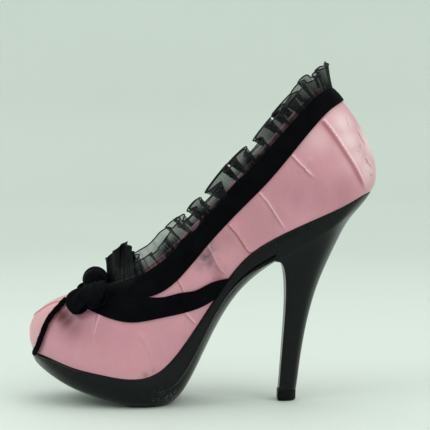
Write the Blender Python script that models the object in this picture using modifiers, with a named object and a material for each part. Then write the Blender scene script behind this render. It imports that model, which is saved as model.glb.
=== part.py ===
"""Platform pump, one left shoe: satin upper, glossy platform and heel, velvet bands, bow and frill.

The toe points to -X, the outer side of the foot is -Y, and the shoe stands on z = 0.
Numbers in the tables are millimetres unless a column says otherwise; meshes are in metres.
"""

import math

import bmesh
import bpy
import numpy as np

PART_NAME = "platform_pump"
MM = 0.001
MIDDLE_X = 0.08
MIDDLE_Y = -0.2

# The ring runs from the middle of the heel back along the outer side to the toe tip and home
# along the inner side. Each table below has one row for each place, from heel to toe.
PLACES = ("heel_back", "heel_turn", "counter", "seat", "breast", "shank", "arch", "rise",
          "tread_back", "joint", "ball", "vamp_side", "toe_side", "toe_turn", "toe_tip")
LAST_PLACE = len(PLACES) - 1
RING_COUNT = 2 * LAST_PLACE
BREAST = PLACES.index("breast")

# Feather line, where the upper meets the sole: x, half width outer, half width inner, height
FEATHER = (
    (105.0, 0.0, 0.0, 130.0),
    (99.3, 13.2, 13.2, 128.4),
    (86.5, 22.0, 21.6, 121.9),
    (66.5, 24.8, 24.3, 113.0),
    (45.3, 23.5, 21.9, 102.9),
    (25.5, 22.1, 18.4, 89.0),
    (7.5, 23.9, 18.4, 65.2),
    (-10.5, 28.8, 22.2, 38.5),
    (-26.5, 35.2, 28.3, 21.9),
    (-43.5, 38.9, 35.8, 18.3),
    (-61.5, 37.3, 38.5, 20.9),
    (-78.5, 32.0, 35.2, 24.3),
    (-93.0, 22.4, 27.2, 28.6),
    (-103.2, 8.8, 16.0, 30.0),
    (-107.0, -3.8, 3.8, 29.8),
)

# Topline: x, half width outer, half width inner, height, then the collar band's lower and
# upper edges as fractions of the way from feather line to topline
TOPLINE = (
    (78.8, 0.0, 0.0, 197.4, 0.850, 0.970),
    (75.8, 9.5, 9.5, 196.2, 0.838, 0.970),
    (67.5, 16.6, 16.6, 190.6, 0.806, 0.965),
    (54.0, 22.0, 22.0, 175.6, 0.730, 0.960),
    (37.5, 25.8, 25.6, 156.6, 0.645, 0.958),
    (20.0, 28.6, 28.0, 136.8, 0.625, 0.955),
    (3.5, 30.6, 29.6, 118.4, 0.648, 0.955),
    (-11.5, 31.5, 30.2, 102.8, 0.642, 0.958),
    (-24.0, 30.4, 29.4, 91.0, 0.668, 0.960),
    (-34.8, 27.2, 27.2, 82.6, 0.700, 0.965),
    (-42.8, 21.8, 22.6, 77.6, 0.735, 0.970),
    (-49.0, 15.6, 17.0, 75.2, 0.772, 0.972),
    (-53.6, 9.4, 11.0, 74.0, 0.805, 0.974),
    (-56.3, 3.8, 5.6, 73.5, 0.828, 0.974),
    (-57.2, -0.8, 0.8, 73.4, 0.836, 0.974),
)

# Fullness of the last: how the skin leaves the feather line (x, outward, up) and how it
# arrives at the topline (x, outward, up, measured back from the topline)
FULLNESS = (
    (14.2, 0.0, 13.0, 21.5, 0.0, -19.5),
    (11.0, 5.5, 14.0, 19.0, 5.0, -20.5),
    (5.5, 7.0, 17.0, 11.5, 7.0, -22.0),
    (0.5, 5.5, 19.0, 3.5, 5.0, -22.0),
    (-0.5, 5.0, 18.0, 1.2, 4.0, -19.0),
    (-1.0, 6.5, 16.0, 0.3, 3.6, -17.0),
    (-1.2, 9.0, 17.0, -0.3, 4.0, -17.0),
    (-1.2, 7.5, 20.0, -0.8, 6.0, -18.0),
    (-1.2, 4.0, 22.0, -1.6, 8.2, -18.0),
    (-2.2, 2.6, 20.5, -6.0, 9.6, -14.0),
    (-3.8, 2.4, 20.0, -10.0, 11.2, -11.0),
    (-5.5, 3.4, 22.5, -16.5, 12.6, -8.6),
    (-7.6, 4.0, 25.5, -24.0, 11.2, -7.4),
    (-10.2, 2.8, 27.6, -30.4, 6.4, -7.0),
    (-11.4, 0.0, 28.4, -33.0, 0.0, -6.9),
)

# Sole from the breast to the toe tip: height of the wall's foot, height of the middle of the
# underside, the flat share of the width, and the power of the curve beside the flat
SOLE = (
    (89.4, 87.0, 0.0, 2.0),
    (76.8, 71.2, 0.0, 2.1),
    (53.0, 43.4, 0.0, 2.3),
    (18.0, 8.0, 0.2, 3.2),
    (9.4, 0.0, 0.5, 4.2),
    (9.7, 0.0, 0.5, 4.5),
    (12.6, 4.0, 0.5, 4.2),
    (16.7, 9.2, 0.4, 4.0),
    (22.2, 16.0, 0.3, 3.6),
    (26.0, 22.0, 0.2, 3.0),
    (26.8, 26.8, 0.0, 2.5),
)

# Heel levels from the seat down: front x and height, back x and height, half width, and how
# far the middle of the front edge dips
HEEL = (
    (45.6, 102.9, 105.2, 130.0, 25.0, 0.0),
    (45.6, 102.1, 105.8, 129.0, 25.6, 0.0),
    (45.6, 97.5, 103.4, 125.8, 25.8, 0.0),
    (45.6, 91.6, 98.8, 121.4, 25.4, 1.0),
    (45.6, 89.4, 95.6, 117.8, 24.8, 2.4),
    (48.7, 87.4, 90.8, 110.8, 22.4, 1.4),
    (51.2, 81.2, 84.8, 98.8, 18.6, 0.4),
    (52.0, 70.5, 76.6, 81.0, 14.6, 0.0),
    (51.8, 58.0, 70.6, 63.8, 11.8, 0.0),
    (51.2, 43.0, 66.2, 44.8, 9.9, 0.0),
    (50.0, 26.0, 62.8, 26.6, 8.6, 0.0),
    (48.6, 14.0, 60.9, 14.0, 8.0, 0.0),
    (47.4, 6.4, 59.5, 6.4, 7.8, 0.0),
)
HEEL_TIP = (
    (46.9, 6.1, 59.9, 6.1, 8.1, 0.0),
    (46.7, 5.2, 60.0, 5.2, 8.3, 0.0),
    (46.7, 0.6, 60.0, 0.6, 8.3, 0.0),
    (47.2, 0.0, 59.5, 0.0, 7.8, 0.0),
)

# Vamp strap, bow to sole: lower edge (ring place, fraction up), upper edge (same)
STRAP = (
    (10.83, 0.575, 10.95, 0.748),
    (10.43, 0.560, 10.35, 0.727),
    (9.65, 0.520, 9.60, 0.700),
    (8.97, 0.495, 8.97, 0.680),
    (8.38, 0.480, 8.38, 0.655),
    (7.75, 0.435, 7.78, 0.610),
    (7.10, 0.325, 7.10, 0.510),
    (6.58, 0.185, 6.53, 0.360),
    (6.20, 0.065, 6.03, 0.225),
    (6.00, 0.010, 5.52, 0.010),
)

# Toe piping, sole to bow: ring place, fraction up
PIPING = (
    (13.02, 0.012),
    (12.52, 0.085),
    (12.18, 0.215),
    (12.10, 0.375),
    (12.18, 0.490),
    (12.36, 0.575),
)

# Bow lobes: ring place and fraction up of the middle, reach along the ring in places, reach up
# in fractions, height of the dome
BOW = {
    "bow_petal_outer": (11.55, 0.580, 0.66, 0.085, 8.0),
    "bow_loop_outer": (11.35, 0.765, 0.98, 0.090, 8.5),
    "bow_crest": (14.00, 0.868, 1.50, 0.085, 13.0),
    "bow_loop_inner": (16.65, 0.765, 0.98, 0.090, 8.5),
    "bow_petal_inner": (16.45, 0.580, 0.66, 0.085, 8.0),
}

# Frill: ring place from the heel back to the toe, height of the hem above the band
FRILL = (
    (0.0, 12.2),
    (2.0, 11.4),
    (4.0, 9.8),
    (6.0, 10.2),
    (8.0, 12.6),
    (9.0, 14.8),
    (9.8, 21.0),
    (10.6, 23.0),
    (11.6, 20.5),
    (14.0, 15.0),
)

# Plain sizes
GAP = 0.3
WALL = 1.8
RIBBON = 1.0
INSOLE = 1.8
INSOLE_INSET = 2.5
PIPING_RADIUS = 1.5
BOW_BASE = 1.7
BOW_RIM = 1.2
FRILL_THICK = 0.6
FRILL_WAVES = 15
FRILL_SWAY = 3.0
FRILL_RISE = 1.8
FRILL_LEAN = 1.5
FRILL_STAND = 2.0
FRILL_CALM = 4.0
SOLE_WALL = ((0.2, 0.0), (0.8, 0.06), (1.0, 0.4), (0.6, 0.8), (0.0, 1.0))
ACROSS = (-1.0, -0.97, -0.92, -0.84, -0.7, -0.5, 0.0, 0.5, 0.7, 0.84, 0.92, 0.97, 1.0)
HEEL_FRONT = (0.5, 0.0, -0.5)
UP_STEPS = (0.0, 0.08, 0.18, 0.3, 0.42, 0.54, 0.66, 0.76, 0.85, 0.93, 1.0)
BAND_STEPS = 4
STRAP_ALONG = 34
STRAP_ACROSS = 3
PIPING_ALONG = 26
PIPING_ROUND = 8
BOW_ROUND = 16
BOW_RINGS = (0.4, 0.7, 0.9, 1.0)
FRILL_STEPS = 140
FRILL_ROWS = 3

# Colours and finishes: base colour, roughness
MATERIALS = {
    "satin_pink": ((0.60, 0.31, 0.33, 1.0), 0.38),
    "velvet_black": ((0.006, 0.006, 0.009, 1.0), 0.95),
    "organza_black": ((0.02, 0.02, 0.022, 1.0), 0.6),
    "gloss_black": ((0.010, 0.012, 0.012, 1.0), 0.16),
    "lining_black": ((0.012, 0.012, 0.013, 1.0), 0.7),
    "tip_black": ((0.014, 0.014, 0.014, 1.0), 0.5),
}


def spline(points, closed):
    """Cubic spline through points at whole-number places; closed joins the last to the first."""
    points = np.asarray(points, dtype=float)
    count = len(points)
    system = 4.0 * np.eye(count)
    system += np.roll(np.eye(count), 1, axis=0) + np.roll(np.eye(count), -1, axis=0)
    bend = 6.0 * (np.roll(points, 1, axis=0) - 2.0 * points + np.roll(points, -1, axis=0))
    if not closed:
        system[0, :] = 0.0
        system[-1, :] = 0.0
        system[0, 0] = 1.0
        system[-1, -1] = 1.0
        bend[0] = 0.0
        bend[-1] = 0.0
    curve = np.linalg.solve(system, bend)

    def value(place):
        place = np.asarray(place, dtype=float)
        if closed:
            place = place % count
            first = np.floor(place).astype(int) % count
            second = (first + 1) % count
        else:
            first = np.clip(np.floor(place).astype(int), 0, count - 2)
            second = first + 1
        part = (place - first)[..., None]
        rest = 1.0 - part
        straight = rest * points[first] + part * points[second]
        return straight + ((rest ** 3 - rest) * curve[first] + (part ** 3 - part) * curve[second]) / 6.0

    return value


def ring_points(x, outer, inner, height):
    """Closed ring of points from table columns: outer side first, then inner side back."""
    outer_side = np.column_stack([x - MIDDLE_X, -outer - MIDDLE_Y, height]) * MM
    inner_side = np.column_stack([x - MIDDLE_X, inner - MIDDLE_Y, height]) * MM
    return np.vstack([outer_side, inner_side[-2:0:-1]])


def ring_rows(columns):
    """Repeat heel-to-toe rows along the inner side so that they match ring_points."""
    return np.vstack([columns, columns[-2:0:-1]])


feather_table = np.array(FEATHER)
topline_table = np.array(TOPLINE)
fullness_table = ring_rows(np.array(FULLNESS))
outward_sign = np.concatenate([-np.ones(LAST_PLACE + 1), np.ones(LAST_PLACE - 1)])

sole_edge = ring_points(*feather_table.T)
skin_foot = sole_edge + np.array([0.0, 0.0, GAP * MM])
skin_top = ring_points(*topline_table[:, :4].T)
leave = fullness_table[:, 0:3] * MM
arrive = fullness_table[:, 3:6] * MM
leave[:, 1] *= outward_sign
arrive[:, 1] *= outward_sign

sole_edge_at = spline(sole_edge, True)
foot_at = spline(skin_foot, True)
low_at = spline(skin_foot + leave, True)
high_at = spline(skin_top + arrive, True)
top_at = spline(skin_top, True)
band_at = spline(ring_rows(topline_table[:, 4:6]), True)
sole_at = spline(np.array(SOLE), False)


def skin(place, up):
    """Point on the outer face of the upper; past 1 it runs straight on above the topline."""
    place, up = np.broadcast_arrays(np.asarray(place, float), np.asarray(up, float))
    within = np.minimum(up, 1.0)[..., None]
    beyond = (up - np.minimum(up, 1.0))[..., None]
    rest = 1.0 - within
    high = high_at(place)
    top = top_at(place)
    body = rest ** 3 * foot_at(place) + 3.0 * within * rest ** 2 * low_at(place)
    body = body + 3.0 * within ** 2 * rest * high + within ** 3 * top
    return body + beyond * 3.0 * (top - high)


def skin_normal(place, up):
    """Outward normal of the skin."""
    step = 0.001
    place, up = np.broadcast_arrays(np.asarray(place, float), np.asarray(up, float))
    along = skin(place + step, up) - skin(place - step, up)
    rise = skin(place, up + step) - skin(place, up - step)
    normal = np.cross(rise, along)
    return normal / np.linalg.norm(normal, axis=-1, keepdims=True)


def off_skin(place, up, distance):
    """Point at a distance in metres off the skin."""
    return skin(place, up) + skin_normal(place, up) * np.asarray(distance)[..., None]


def plan_outward(place):
    """Outward direction of the feather line seen from above."""
    step = 0.001
    along = sole_edge_at(place + step) - sole_edge_at(place - step)
    outward = np.column_stack([-along[:, 1], along[:, 0], np.zeros(len(along))])
    return outward / np.linalg.norm(outward, axis=1, keepdims=True)


def side_places(start, finish):
    """Places along the outer side, closer together where the plan turns."""
    places = []
    for row in range(start, finish):
        count = 2
        if row < 2 or row >= 9:
            count = 3
        if row >= 12:
            count = 4
        places += [row + part / count for part in range(count)]
    return np.array(places + [float(finish)])


def material(name):
    """Principled material by name."""
    colour, roughness = MATERIALS[name]
    made = bpy.data.materials.get(name) or bpy.data.materials.new(name)
    made.use_nodes = True
    shader = made.node_tree.nodes["Principled BSDF"]
    shader.inputs["Base Color"].default_value = colour
    shader.inputs["Roughness"].default_value = roughness
    made.diffuse_color = colour
    return made


def put(name, points, faces, material_name):
    """Make one object from points and faces, facing outward."""
    body = bmesh.new()
    corners = [body.verts.new(point) for point in points]
    for face in faces:
        body.faces.new([corners[index] for index in face])
    bmesh.ops.remove_doubles(body, verts=body.verts[:], dist=0.00002)
    bmesh.ops.dissolve_degenerate(body, edges=body.edges[:], dist=0.00001)
    bmesh.ops.recalc_face_normals(body, faces=body.faces[:])
    mesh = bpy.data.meshes.new(name)
    body.to_mesh(mesh)
    body.free()
    item = bpy.data.objects.new(name, mesh)
    item.data.materials.append(material(material_name))
    collection.objects.link(item)
    return item


def thicken(item, thickness, offset):
    """Give an open sheet a real wall; offset 1 grows outward and -1 inward."""
    wall = item.modifiers.new("wall", "SOLIDIFY")
    wall.thickness = thickness * MM
    wall.offset = offset
    wall.use_even_offset = True
    wall.use_quality_normals = True
    return item


def sheet(name, grid, closed, material_name):
    """Open sheet from a grid of points, facing outward; closed joins the grid's last row to its first."""
    rows, columns = grid.shape[:2]
    faces = []
    for row in range(rows if closed else rows - 1):
        after = (row + 1) % rows
        for column in range(columns - 1):
            faces.append((row * columns + column, row * columns + column + 1,
                          after * columns + column + 1, after * columns + column))
    body = bmesh.new()
    corners = [body.verts.new(point) for point in grid.reshape(-1, 3)]
    for face in faces:
        body.faces.new([corners[index] for index in face])
    mesh = bpy.data.meshes.new(name)
    body.to_mesh(mesh)
    body.free()
    item = bpy.data.objects.new(name, mesh)
    item.data.materials.append(material(material_name))
    collection.objects.link(item)
    return item


def loft(name, loops, ends, material_name):
    """Closed body from loops of equal count; ends are None, 'flat' or 'bridge' for each end."""
    count = len(loops[0])
    points = [point for loop in loops for point in loop]
    faces = []
    for level in range(len(loops) - 1):
        for index in range(count):
            after = (index + 1) % count
            faces.append((level * count + index, level * count + after,
                          (level + 1) * count + after, (level + 1) * count + index))
    for level, end in zip((0, len(loops) - 1), ends):
        first = level * count
        if end == "flat":
            faces.append(tuple(range(first, first + count)))
        if end == "bridge":
            for index in range(count // 2 - 1):
                faces.append((first + index, first + index + 1, first + count - 2 - index,
                              first + count - 1 - index))
    return put(name, points, faces, material_name)


def make_upper():
    """Hollow satin upper, open at the collar and underneath."""
    half = side_places(0, LAST_PLACE)
    places = np.concatenate([half, RING_COUNT - half[-2:0:-1]])
    grid = skin(places[:, None], np.array(UP_STEPS)[None, :])
    thicken(sheet("upper", grid, True, "satin_pink"), WALL, -1.0)


def make_collar_band():
    """Velvet ribbon round the collar."""
    half = side_places(0, LAST_PLACE)
    places = np.concatenate([half, RING_COUNT - half[-2:0:-1]])
    edges = band_at(places)
    parts = np.linspace(0.0, 1.0, BAND_STEPS + 1)
    ups = edges[:, :1] + (edges[:, 1:] - edges[:, :1]) * parts[None, :]
    grid = off_skin(places[:, None], ups, np.full(ups.shape, GAP * MM))
    thicken(sheet("collar_band", grid, True, "velvet_black"), RIBBON, 1.0)


def make_strap(name, inner):
    """Velvet strap from the bow across the vamp to the waist of the sole."""
    rows = spline(np.array(STRAP), False)(np.linspace(0, len(STRAP) - 1, STRAP_ALONG))
    parts = np.linspace(0.0, 1.0, STRAP_ACROSS + 1)[None, :]
    places = rows[:, 0:1] + (rows[:, 2:3] - rows[:, 0:1]) * parts
    ups = rows[:, 1:2] + (rows[:, 3:4] - rows[:, 1:2]) * parts
    if inner:
        places = RING_COUNT - places
    else:
        places = places[::-1]
        ups = ups[::-1]
    grid = off_skin(places, ups, np.full(ups.shape, GAP * MM))
    thicken(sheet(name, grid, False, "velvet_black"), RIBBON, 1.0)


def make_piping(name, inner):
    """Velvet cord from the toe tip up to the bow."""
    rows = spline(np.array(PIPING), False)(np.linspace(0, len(PIPING) - 1, PIPING_ALONG))
    places = RING_COUNT - rows[:, 0] if inner else rows[:, 0]
    middle = off_skin(places, rows[:, 1], np.full(len(rows), (GAP + PIPING_RADIUS) * MM))
    out = skin_normal(places, rows[:, 1])
    along = np.gradient(middle, axis=0)
    along /= np.linalg.norm(along, axis=1, keepdims=True)
    across = np.cross(along, out)
    across /= np.linalg.norm(across, axis=1, keepdims=True)
    turns = np.linspace(0.0, 2.0 * math.pi, PIPING_ROUND, endpoint=False)
    loops = []
    for index in range(len(rows)):
        ring = np.outer(np.cos(turns), out[index]) + np.outer(np.sin(turns), across[index])
        loops.append(middle[index] + ring * PIPING_RADIUS * MM)
    loft(name, loops, ("flat", "flat"), "velvet_black")


def sole_loop(place):
    """Closed section of the sole at one station: outer wall, underside, inner wall."""
    edge, keel, flat, power = sole_at(place - BREAST)
    edge *= MM
    keel = max(keel, 0.0) * MM
    pair = np.array([place, RING_COUNT - place])
    rim = sole_edge_at(pair)
    outward = plan_outward(pair)
    walls = []
    for offset, part in SOLE_WALL:
        level = rim + outward * offset * MM
        level[:, 2] = rim[:, 2] + (edge - rim[:, 2]) * part
        walls.append(level)
    outer_foot, inner_foot = walls[-1]
    under = []
    for part in ACROSS[1:-1]:
        share = 0.5 * (1.0 + part)
        point = outer_foot + (inner_foot - outer_foot) * share
        turn = max(0.0, (abs(part) - flat) / (1.0 - flat))
        point[2] = keel + (edge - keel) * turn ** power
        under.append(point)
    return [level[0] for level in walls] + under + [level[1] for level in walls[::-1]]


def make_sole():
    """Platform and waist in one piece, from the heel breast to the toe tip."""
    loops = [np.array(sole_loop(place)) for place in side_places(BREAST, LAST_PLACE)]
    loops[0][:, 0] = (FEATHER[BREAST][0] - MIDDLE_X) * MM
    loft("platform_sole", loops, ("flat", None), "gloss_black")


def heel_loops(levels):
    """Loops of the heel from its table, all shaped after the heel seat's outline."""
    places = side_places(0, BREAST)[::-1]
    outline = sole_edge_at(places)
    shift = np.array([MIDDLE_X, MIDDLE_Y, 0.0]) * MM
    along = (outline[:, 0] - outline[0, 0]) / (outline[-1, 0] - outline[0, 0])
    tilt = (outline[:, 2] - outline[0, 2]) / (outline[-1, 2] - outline[0, 2])
    wide = -(outline + shift)[:, 1] / (FEATHER[PLACES.index("seat")][1] * MM)
    loops = []
    for front_x, front_z, back_x, back_z, half, dip in levels:
        x = front_x + (back_x - front_x) * along - MIDDLE_X
        z = front_z + (back_z - front_z) * tilt
        y = half * wide
        outer = np.column_stack([x, -y - MIDDLE_Y, z])
        inner = np.column_stack([x, y - MIDDLE_Y, z])[-2::-1]
        front = []
        for part in HEEL_FRONT:
            low = front_z - dip * (1.0 - part ** 2)
            front.append((front_x - MIDDLE_X, part * half * wide[0] - MIDDLE_Y, low))
        loops.append(np.vstack([outer, inner, front]) * MM)
    return loops


def make_heel():
    """Tall tapering heel and its tip."""
    for name, levels, stuff in (("heel", HEEL, "gloss_black"), ("heel_tip", HEEL_TIP, "tip_black")):
        loops = heel_loops(levels)
        count = len(loops[0])
        sides = count - len(HEEL_FRONT)
        points = [point for loop in loops for point in loop]
        faces = []
        for level in range(len(loops) - 1):
            for index in range(count):
                after = (index + 1) % count
                faces.append((level * count + index, level * count + after,
                              (level + 1) * count + after, (level + 1) * count + index))
        last = (len(loops) - 1) * count
        faces.append(tuple(range(last, last + count)))
        front = tuple(range(sides, count))
        faces.append((0, 1, sides - 2, sides - 1) + front)
        for index in range(1, sides // 2 - 1):
            faces.append((index, index + 1, sides - 2 - index, sides - 1 - index))
        faces.append((sides // 2 - 1, sides // 2, sides // 2 + 1))
        put(name, points, faces, stuff)


def make_insole():
    """Covered board inside the upper, lying on the sole and the heel seat."""
    stations = sole_edge_at(side_places(0, LAST_PLACE))
    loops = []
    for place in side_places(0, LAST_PLACE):
        pair = np.array([place, RING_COUNT - place])
        rim = sole_edge_at(pair) - plan_outward(pair) * INSOLE_INSET * MM
        rim[:, 2] = np.interp(rim[:, 0], stations[::-1, 0], stations[::-1, 2])
        low = np.array([0.0, 0.0, GAP * MM])
        high = np.array([0.0, 0.0, (GAP + INSOLE) * MM])
        loops.append(np.array([rim[0] + high, rim[0] + low, rim[1] + low, rim[1] + high]))
    loft("insole", loops, (None, None), "lining_black")


def make_bow():
    """Bow lobes as soft domes that follow the vamp."""
    for name, (place, up, reach, climb, height) in BOW.items():
        turns = np.linspace(0.0, 2.0 * math.pi, BOW_ROUND, endpoint=False)
        loops = []
        for radius in (0.0,) + BOW_RINGS:
            rise = BOW_RIM + (height - BOW_RIM) * math.sqrt(max(0.0, 1.0 - radius ** 2))
            loops.append(off_skin(place + reach * radius * np.cos(turns),
                                  up + climb * radius * np.sin(turns),
                                  np.full(BOW_ROUND, (BOW_BASE + rise) * MM)))
        for radius in BOW_RINGS[::-1] + (0.0,):
            loops.append(off_skin(place + reach * radius * np.cos(turns),
                                  up + climb * radius * np.sin(turns),
                                  np.full(BOW_ROUND, BOW_BASE * MM)))
        loft(name, loops, (None, None), "velvet_black")


def even_places(count):
    """Ring places spaced evenly by length along the topline."""
    fine = np.linspace(0.0, RING_COUNT, 40 * RING_COUNT + 1)
    steps = np.linalg.norm(np.diff(top_at(fine), axis=0), axis=1)
    length = np.concatenate([[0.0], np.cumsum(steps)])
    return np.interp(np.linspace(0.0, length[-1], count, endpoint=False), length, fine)


def make_frill():
    """Gathered organza standing above the collar band, as one waving sheet."""
    places = even_places(FRILL_STEPS)
    start = band_at(places)[:, 1] + 0.008
    normal = skin_normal(places, start)
    base = skin(places, start) + normal * (GAP + FRILL_THICK) * MM
    along = top_at(places + 0.01) - top_at(places - 0.01)
    along /= np.linalg.norm(along, axis=1, keepdims=True)
    upward = skin(places, start + 0.02) - skin(places, start)
    upward /= np.linalg.norm(upward, axis=1, keepdims=True)
    upward[:, 2] += FRILL_STAND
    upward -= along * np.sum(upward * along, axis=1, keepdims=True)
    upward /= np.linalg.norm(upward, axis=1, keepdims=True)
    outward = np.cross(upward, along)
    wave = np.sin(np.arange(FRILL_STEPS) / FRILL_STEPS * 2.0 * math.pi * FRILL_WAVES)
    calm = np.clip(np.abs(places - LAST_PLACE) / FRILL_CALM, 0.15, 1.0)
    heights = np.array(FRILL)
    height = np.interp(LAST_PLACE - np.abs(places - LAST_PLACE), heights[:, 0], heights[:, 1])
    rows = []
    for part in np.linspace(0.0, 1.0, FRILL_ROWS):
        climb = (height + FRILL_RISE * wave) * part
        lean = (FRILL_LEAN + FRILL_SWAY * wave) * calm * part ** 1.5
        rows.append(base + upward * climb[:, None] * MM + outward * lean[:, None] * MM)
    grid = np.stack(rows, axis=1)
    thicken(sheet("frill", grid, True, "organza_black"), FRILL_THICK, 0.0)


for old in list(bpy.data.objects):
    bpy.data.objects.remove(old, do_unlink=True)
collection = bpy.data.collections.new(PART_NAME)
bpy.context.scene.collection.children.link(collection)

make_upper()
make_insole()
make_sole()
make_heel()
make_collar_band()
make_strap("vamp_strap_outer", False)
make_strap("vamp_strap_inner", True)
make_piping("toe_piping_outer", False)
make_piping("toe_piping_inner", True)
make_bow()
make_frill()
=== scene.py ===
"""Looks of a platform pump: satin upper, velvet trim and bow, gathered organza frill, glossy sole and heel.

Tables are in millimetres unless a column says otherwise, and meshes are in metres in the frame's axes.
The toe points to -X, the outer side of the foot is -Y, and the shoe stands on z = 0.
"""

import math

import bmesh
import bpy
import numpy as np
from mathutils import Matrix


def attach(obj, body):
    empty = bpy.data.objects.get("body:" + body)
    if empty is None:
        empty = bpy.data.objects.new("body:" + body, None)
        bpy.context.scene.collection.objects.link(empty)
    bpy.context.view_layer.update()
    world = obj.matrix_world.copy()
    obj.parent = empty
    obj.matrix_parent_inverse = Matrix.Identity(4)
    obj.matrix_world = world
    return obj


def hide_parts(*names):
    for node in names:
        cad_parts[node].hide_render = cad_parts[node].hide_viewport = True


bl_info = {
    "name": "Platform pump looks",
    "version": (1, 0, 0),
    "blender": (4, 5, 0),
    "location": "View3D > Sidebar > Pump",
    "description": "Builds the finished pieces of a satin platform pump round its packed model",
    "category": "Object",
}

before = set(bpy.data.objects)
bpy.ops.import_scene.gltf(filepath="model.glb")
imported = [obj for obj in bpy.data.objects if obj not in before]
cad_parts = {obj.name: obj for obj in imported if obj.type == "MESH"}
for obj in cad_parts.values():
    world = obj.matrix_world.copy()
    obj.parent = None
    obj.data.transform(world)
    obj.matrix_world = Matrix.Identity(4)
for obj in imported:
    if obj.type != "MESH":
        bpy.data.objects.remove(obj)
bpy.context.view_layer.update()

MM = 0.001
MIDDLE_X = 0.08
MIDDLE_Y = -0.2
BODY = "root"

# The ring runs from the middle of the heel back along the outer side to the toe tip and home
# along the inner side. Each table below has one row for each place, from heel to toe.
PLACES = ("heel_back", "heel_turn", "counter", "seat", "breast", "shank", "arch", "rise",
          "tread_back", "joint", "ball", "vamp_side", "toe_side", "toe_turn", "toe_tip")
LAST_PLACE = len(PLACES) - 1
RING_COUNT = 2 * LAST_PLACE
BREAST = PLACES.index("breast")

# Feather line, where the upper meets the sole: x, half width outer, half width inner, height
FEATHER = (
    (105.9, 0.0, 0.0, 131.2),
    (99.8, 13.2, 13.2, 128.8),
    (86.5, 22.0, 21.6, 121.9),
    (66.5, 24.8, 24.3, 113.0),
    (45.3, 23.5, 21.9, 102.9),
    (25.5, 22.1, 18.4, 89.0),
    (7.5, 23.9, 18.4, 65.2),
    (-10.5, 28.8, 22.2, 38.5),
    (-26.5, 35.2, 28.3, 21.9),
    (-43.5, 38.9, 35.8, 18.3),
    (-61.5, 37.3, 38.5, 20.9),
    (-78.5, 32.0, 35.2, 24.3),
    (-93.0, 22.4, 27.2, 28.6),
    (-103.2, 8.8, 16.0, 30.0),
    (-107.0, -3.8, 3.8, 29.8),
)

# Topline: x, half width outer, half width inner, height, then the collar band's lower and
# upper edges as fractions of the way from feather line to topline
TOPLINE = (
    (78.8, 0.0, 0.0, 197.4, 0.850, 0.970),
    (75.8, 9.5, 9.5, 196.2, 0.838, 0.970),
    (67.5, 16.6, 16.6, 190.6, 0.806, 0.965),
    (54.0, 22.0, 22.0, 175.6, 0.730, 0.960),
    (37.5, 25.8, 25.6, 156.6, 0.645, 0.958),
    (20.0, 28.6, 28.0, 136.8, 0.625, 0.955),
    (3.5, 30.6, 29.6, 118.4, 0.648, 0.955),
    (-11.5, 31.5, 30.2, 102.8, 0.642, 0.958),
    (-24.0, 30.4, 29.4, 91.0, 0.668, 0.960),
    (-34.8, 27.2, 27.2, 82.6, 0.700, 0.965),
    (-42.8, 21.8, 22.6, 77.6, 0.735, 0.970),
    (-49.0, 15.6, 17.0, 75.2, 0.772, 0.972),
    (-53.6, 9.4, 11.0, 74.0, 0.805, 0.974),
    (-56.3, 3.8, 5.6, 73.5, 0.828, 0.974),
    (-57.2, -0.8, 0.8, 73.4, 0.836, 0.974),
)

# Where the collar band reaches up under the frill's folds: ring place, half length, rise.
# No reach goes past the highest edge.
BAND_REACHES = ((6.86, 0.27, 0.045), (6.13, 0.20, 0.045), (5.20, 0.55, 0.045))
BAND_HIGHEST = 0.992

# Lapped join of the collar band: ring place of its lower end, how far it slants up the band,
# the fraction up where it starts and how far up it runs
BAND_LAP = (6.20, 0.70, 0.64, 0.32)

# Fullness of the last: how the skin leaves the feather line (x, outward, up) and how it
# arrives at the topline (x, outward, up, measured back from the topline)
FULLNESS = (
    (10.8, 0.0, 12.6, 21.3, 0.0, -19.5),
    (9.4, 5.5, 13.8, 18.9, 5.0, -20.5),
    (5.5, 7.0, 17.0, 11.5, 7.0, -22.0),
    (0.5, 5.5, 19.0, 3.5, 5.0, -22.0),
    (-0.5, 5.0, 18.0, 1.2, 4.0, -19.0),
    (-1.0, 6.5, 16.0, 0.3, 3.6, -17.0),
    (-1.2, 9.0, 17.0, -0.3, 4.0, -17.0),
    (-1.2, 7.5, 20.0, -0.8, 6.0, -18.0),
    (-1.2, 4.0, 22.0, -1.6, 8.2, -18.0),
    (-2.2, 2.6, 20.5, -6.0, 9.6, -14.0),
    (-3.8, 2.4, 20.0, -10.0, 11.2, -11.0),
    (-5.5, 3.4, 22.5, -16.5, 12.6, -8.6),
    (-7.6, 4.0, 25.5, -24.0, 11.2, -7.4),
    (-10.2, 2.8, 27.6, -30.4, 6.4, -7.0),
    (-11.4, 0.0, 28.4, -33.0, 0.0, -6.9),
)

# Sole from the breast to the toe tip: height of the wall's foot, height of the middle of the
# underside, the flat share of the width, the power of the curve beside the flat, and how deep
# the line between wall and underside is cut
SOLE = (
    (89.4, 87.0, 0.0, 2.0, 0.4),
    (76.8, 71.2, 0.0, 2.1, 0.5),
    (53.0, 43.4, 0.0, 2.3, 0.5),
    (18.0, 8.0, 0.2, 3.2, 0.4),
    (9.4, 0.0, 0.5, 4.2, 0.1),
    (9.8, 0.7, 0.5, 4.5, 0.0),
    (12.8, 4.4, 0.5, 4.2, 0.0),
    (16.8, 9.4, 0.4, 4.0, 0.0),
    (22.2, 16.0, 0.3, 3.6, 0.0),
    (26.0, 22.0, 0.2, 3.0, 0.0),
    (26.8, 26.8, 0.0, 2.5, 0.0),
)

# Groove along the arch: where it lies down the wall (0 to 1), its half width there, its depth
# and the ring places between which it fades out
GROOVE_DROP = 0.80
GROOVE_HALF = 0.05
GROOVE_DEPTH = 0.5
GROOVE_FADE = (6.2, 7.2)

# How far the wall below the groove leans in under the arch
UNDERCUT = 3.0

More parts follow.
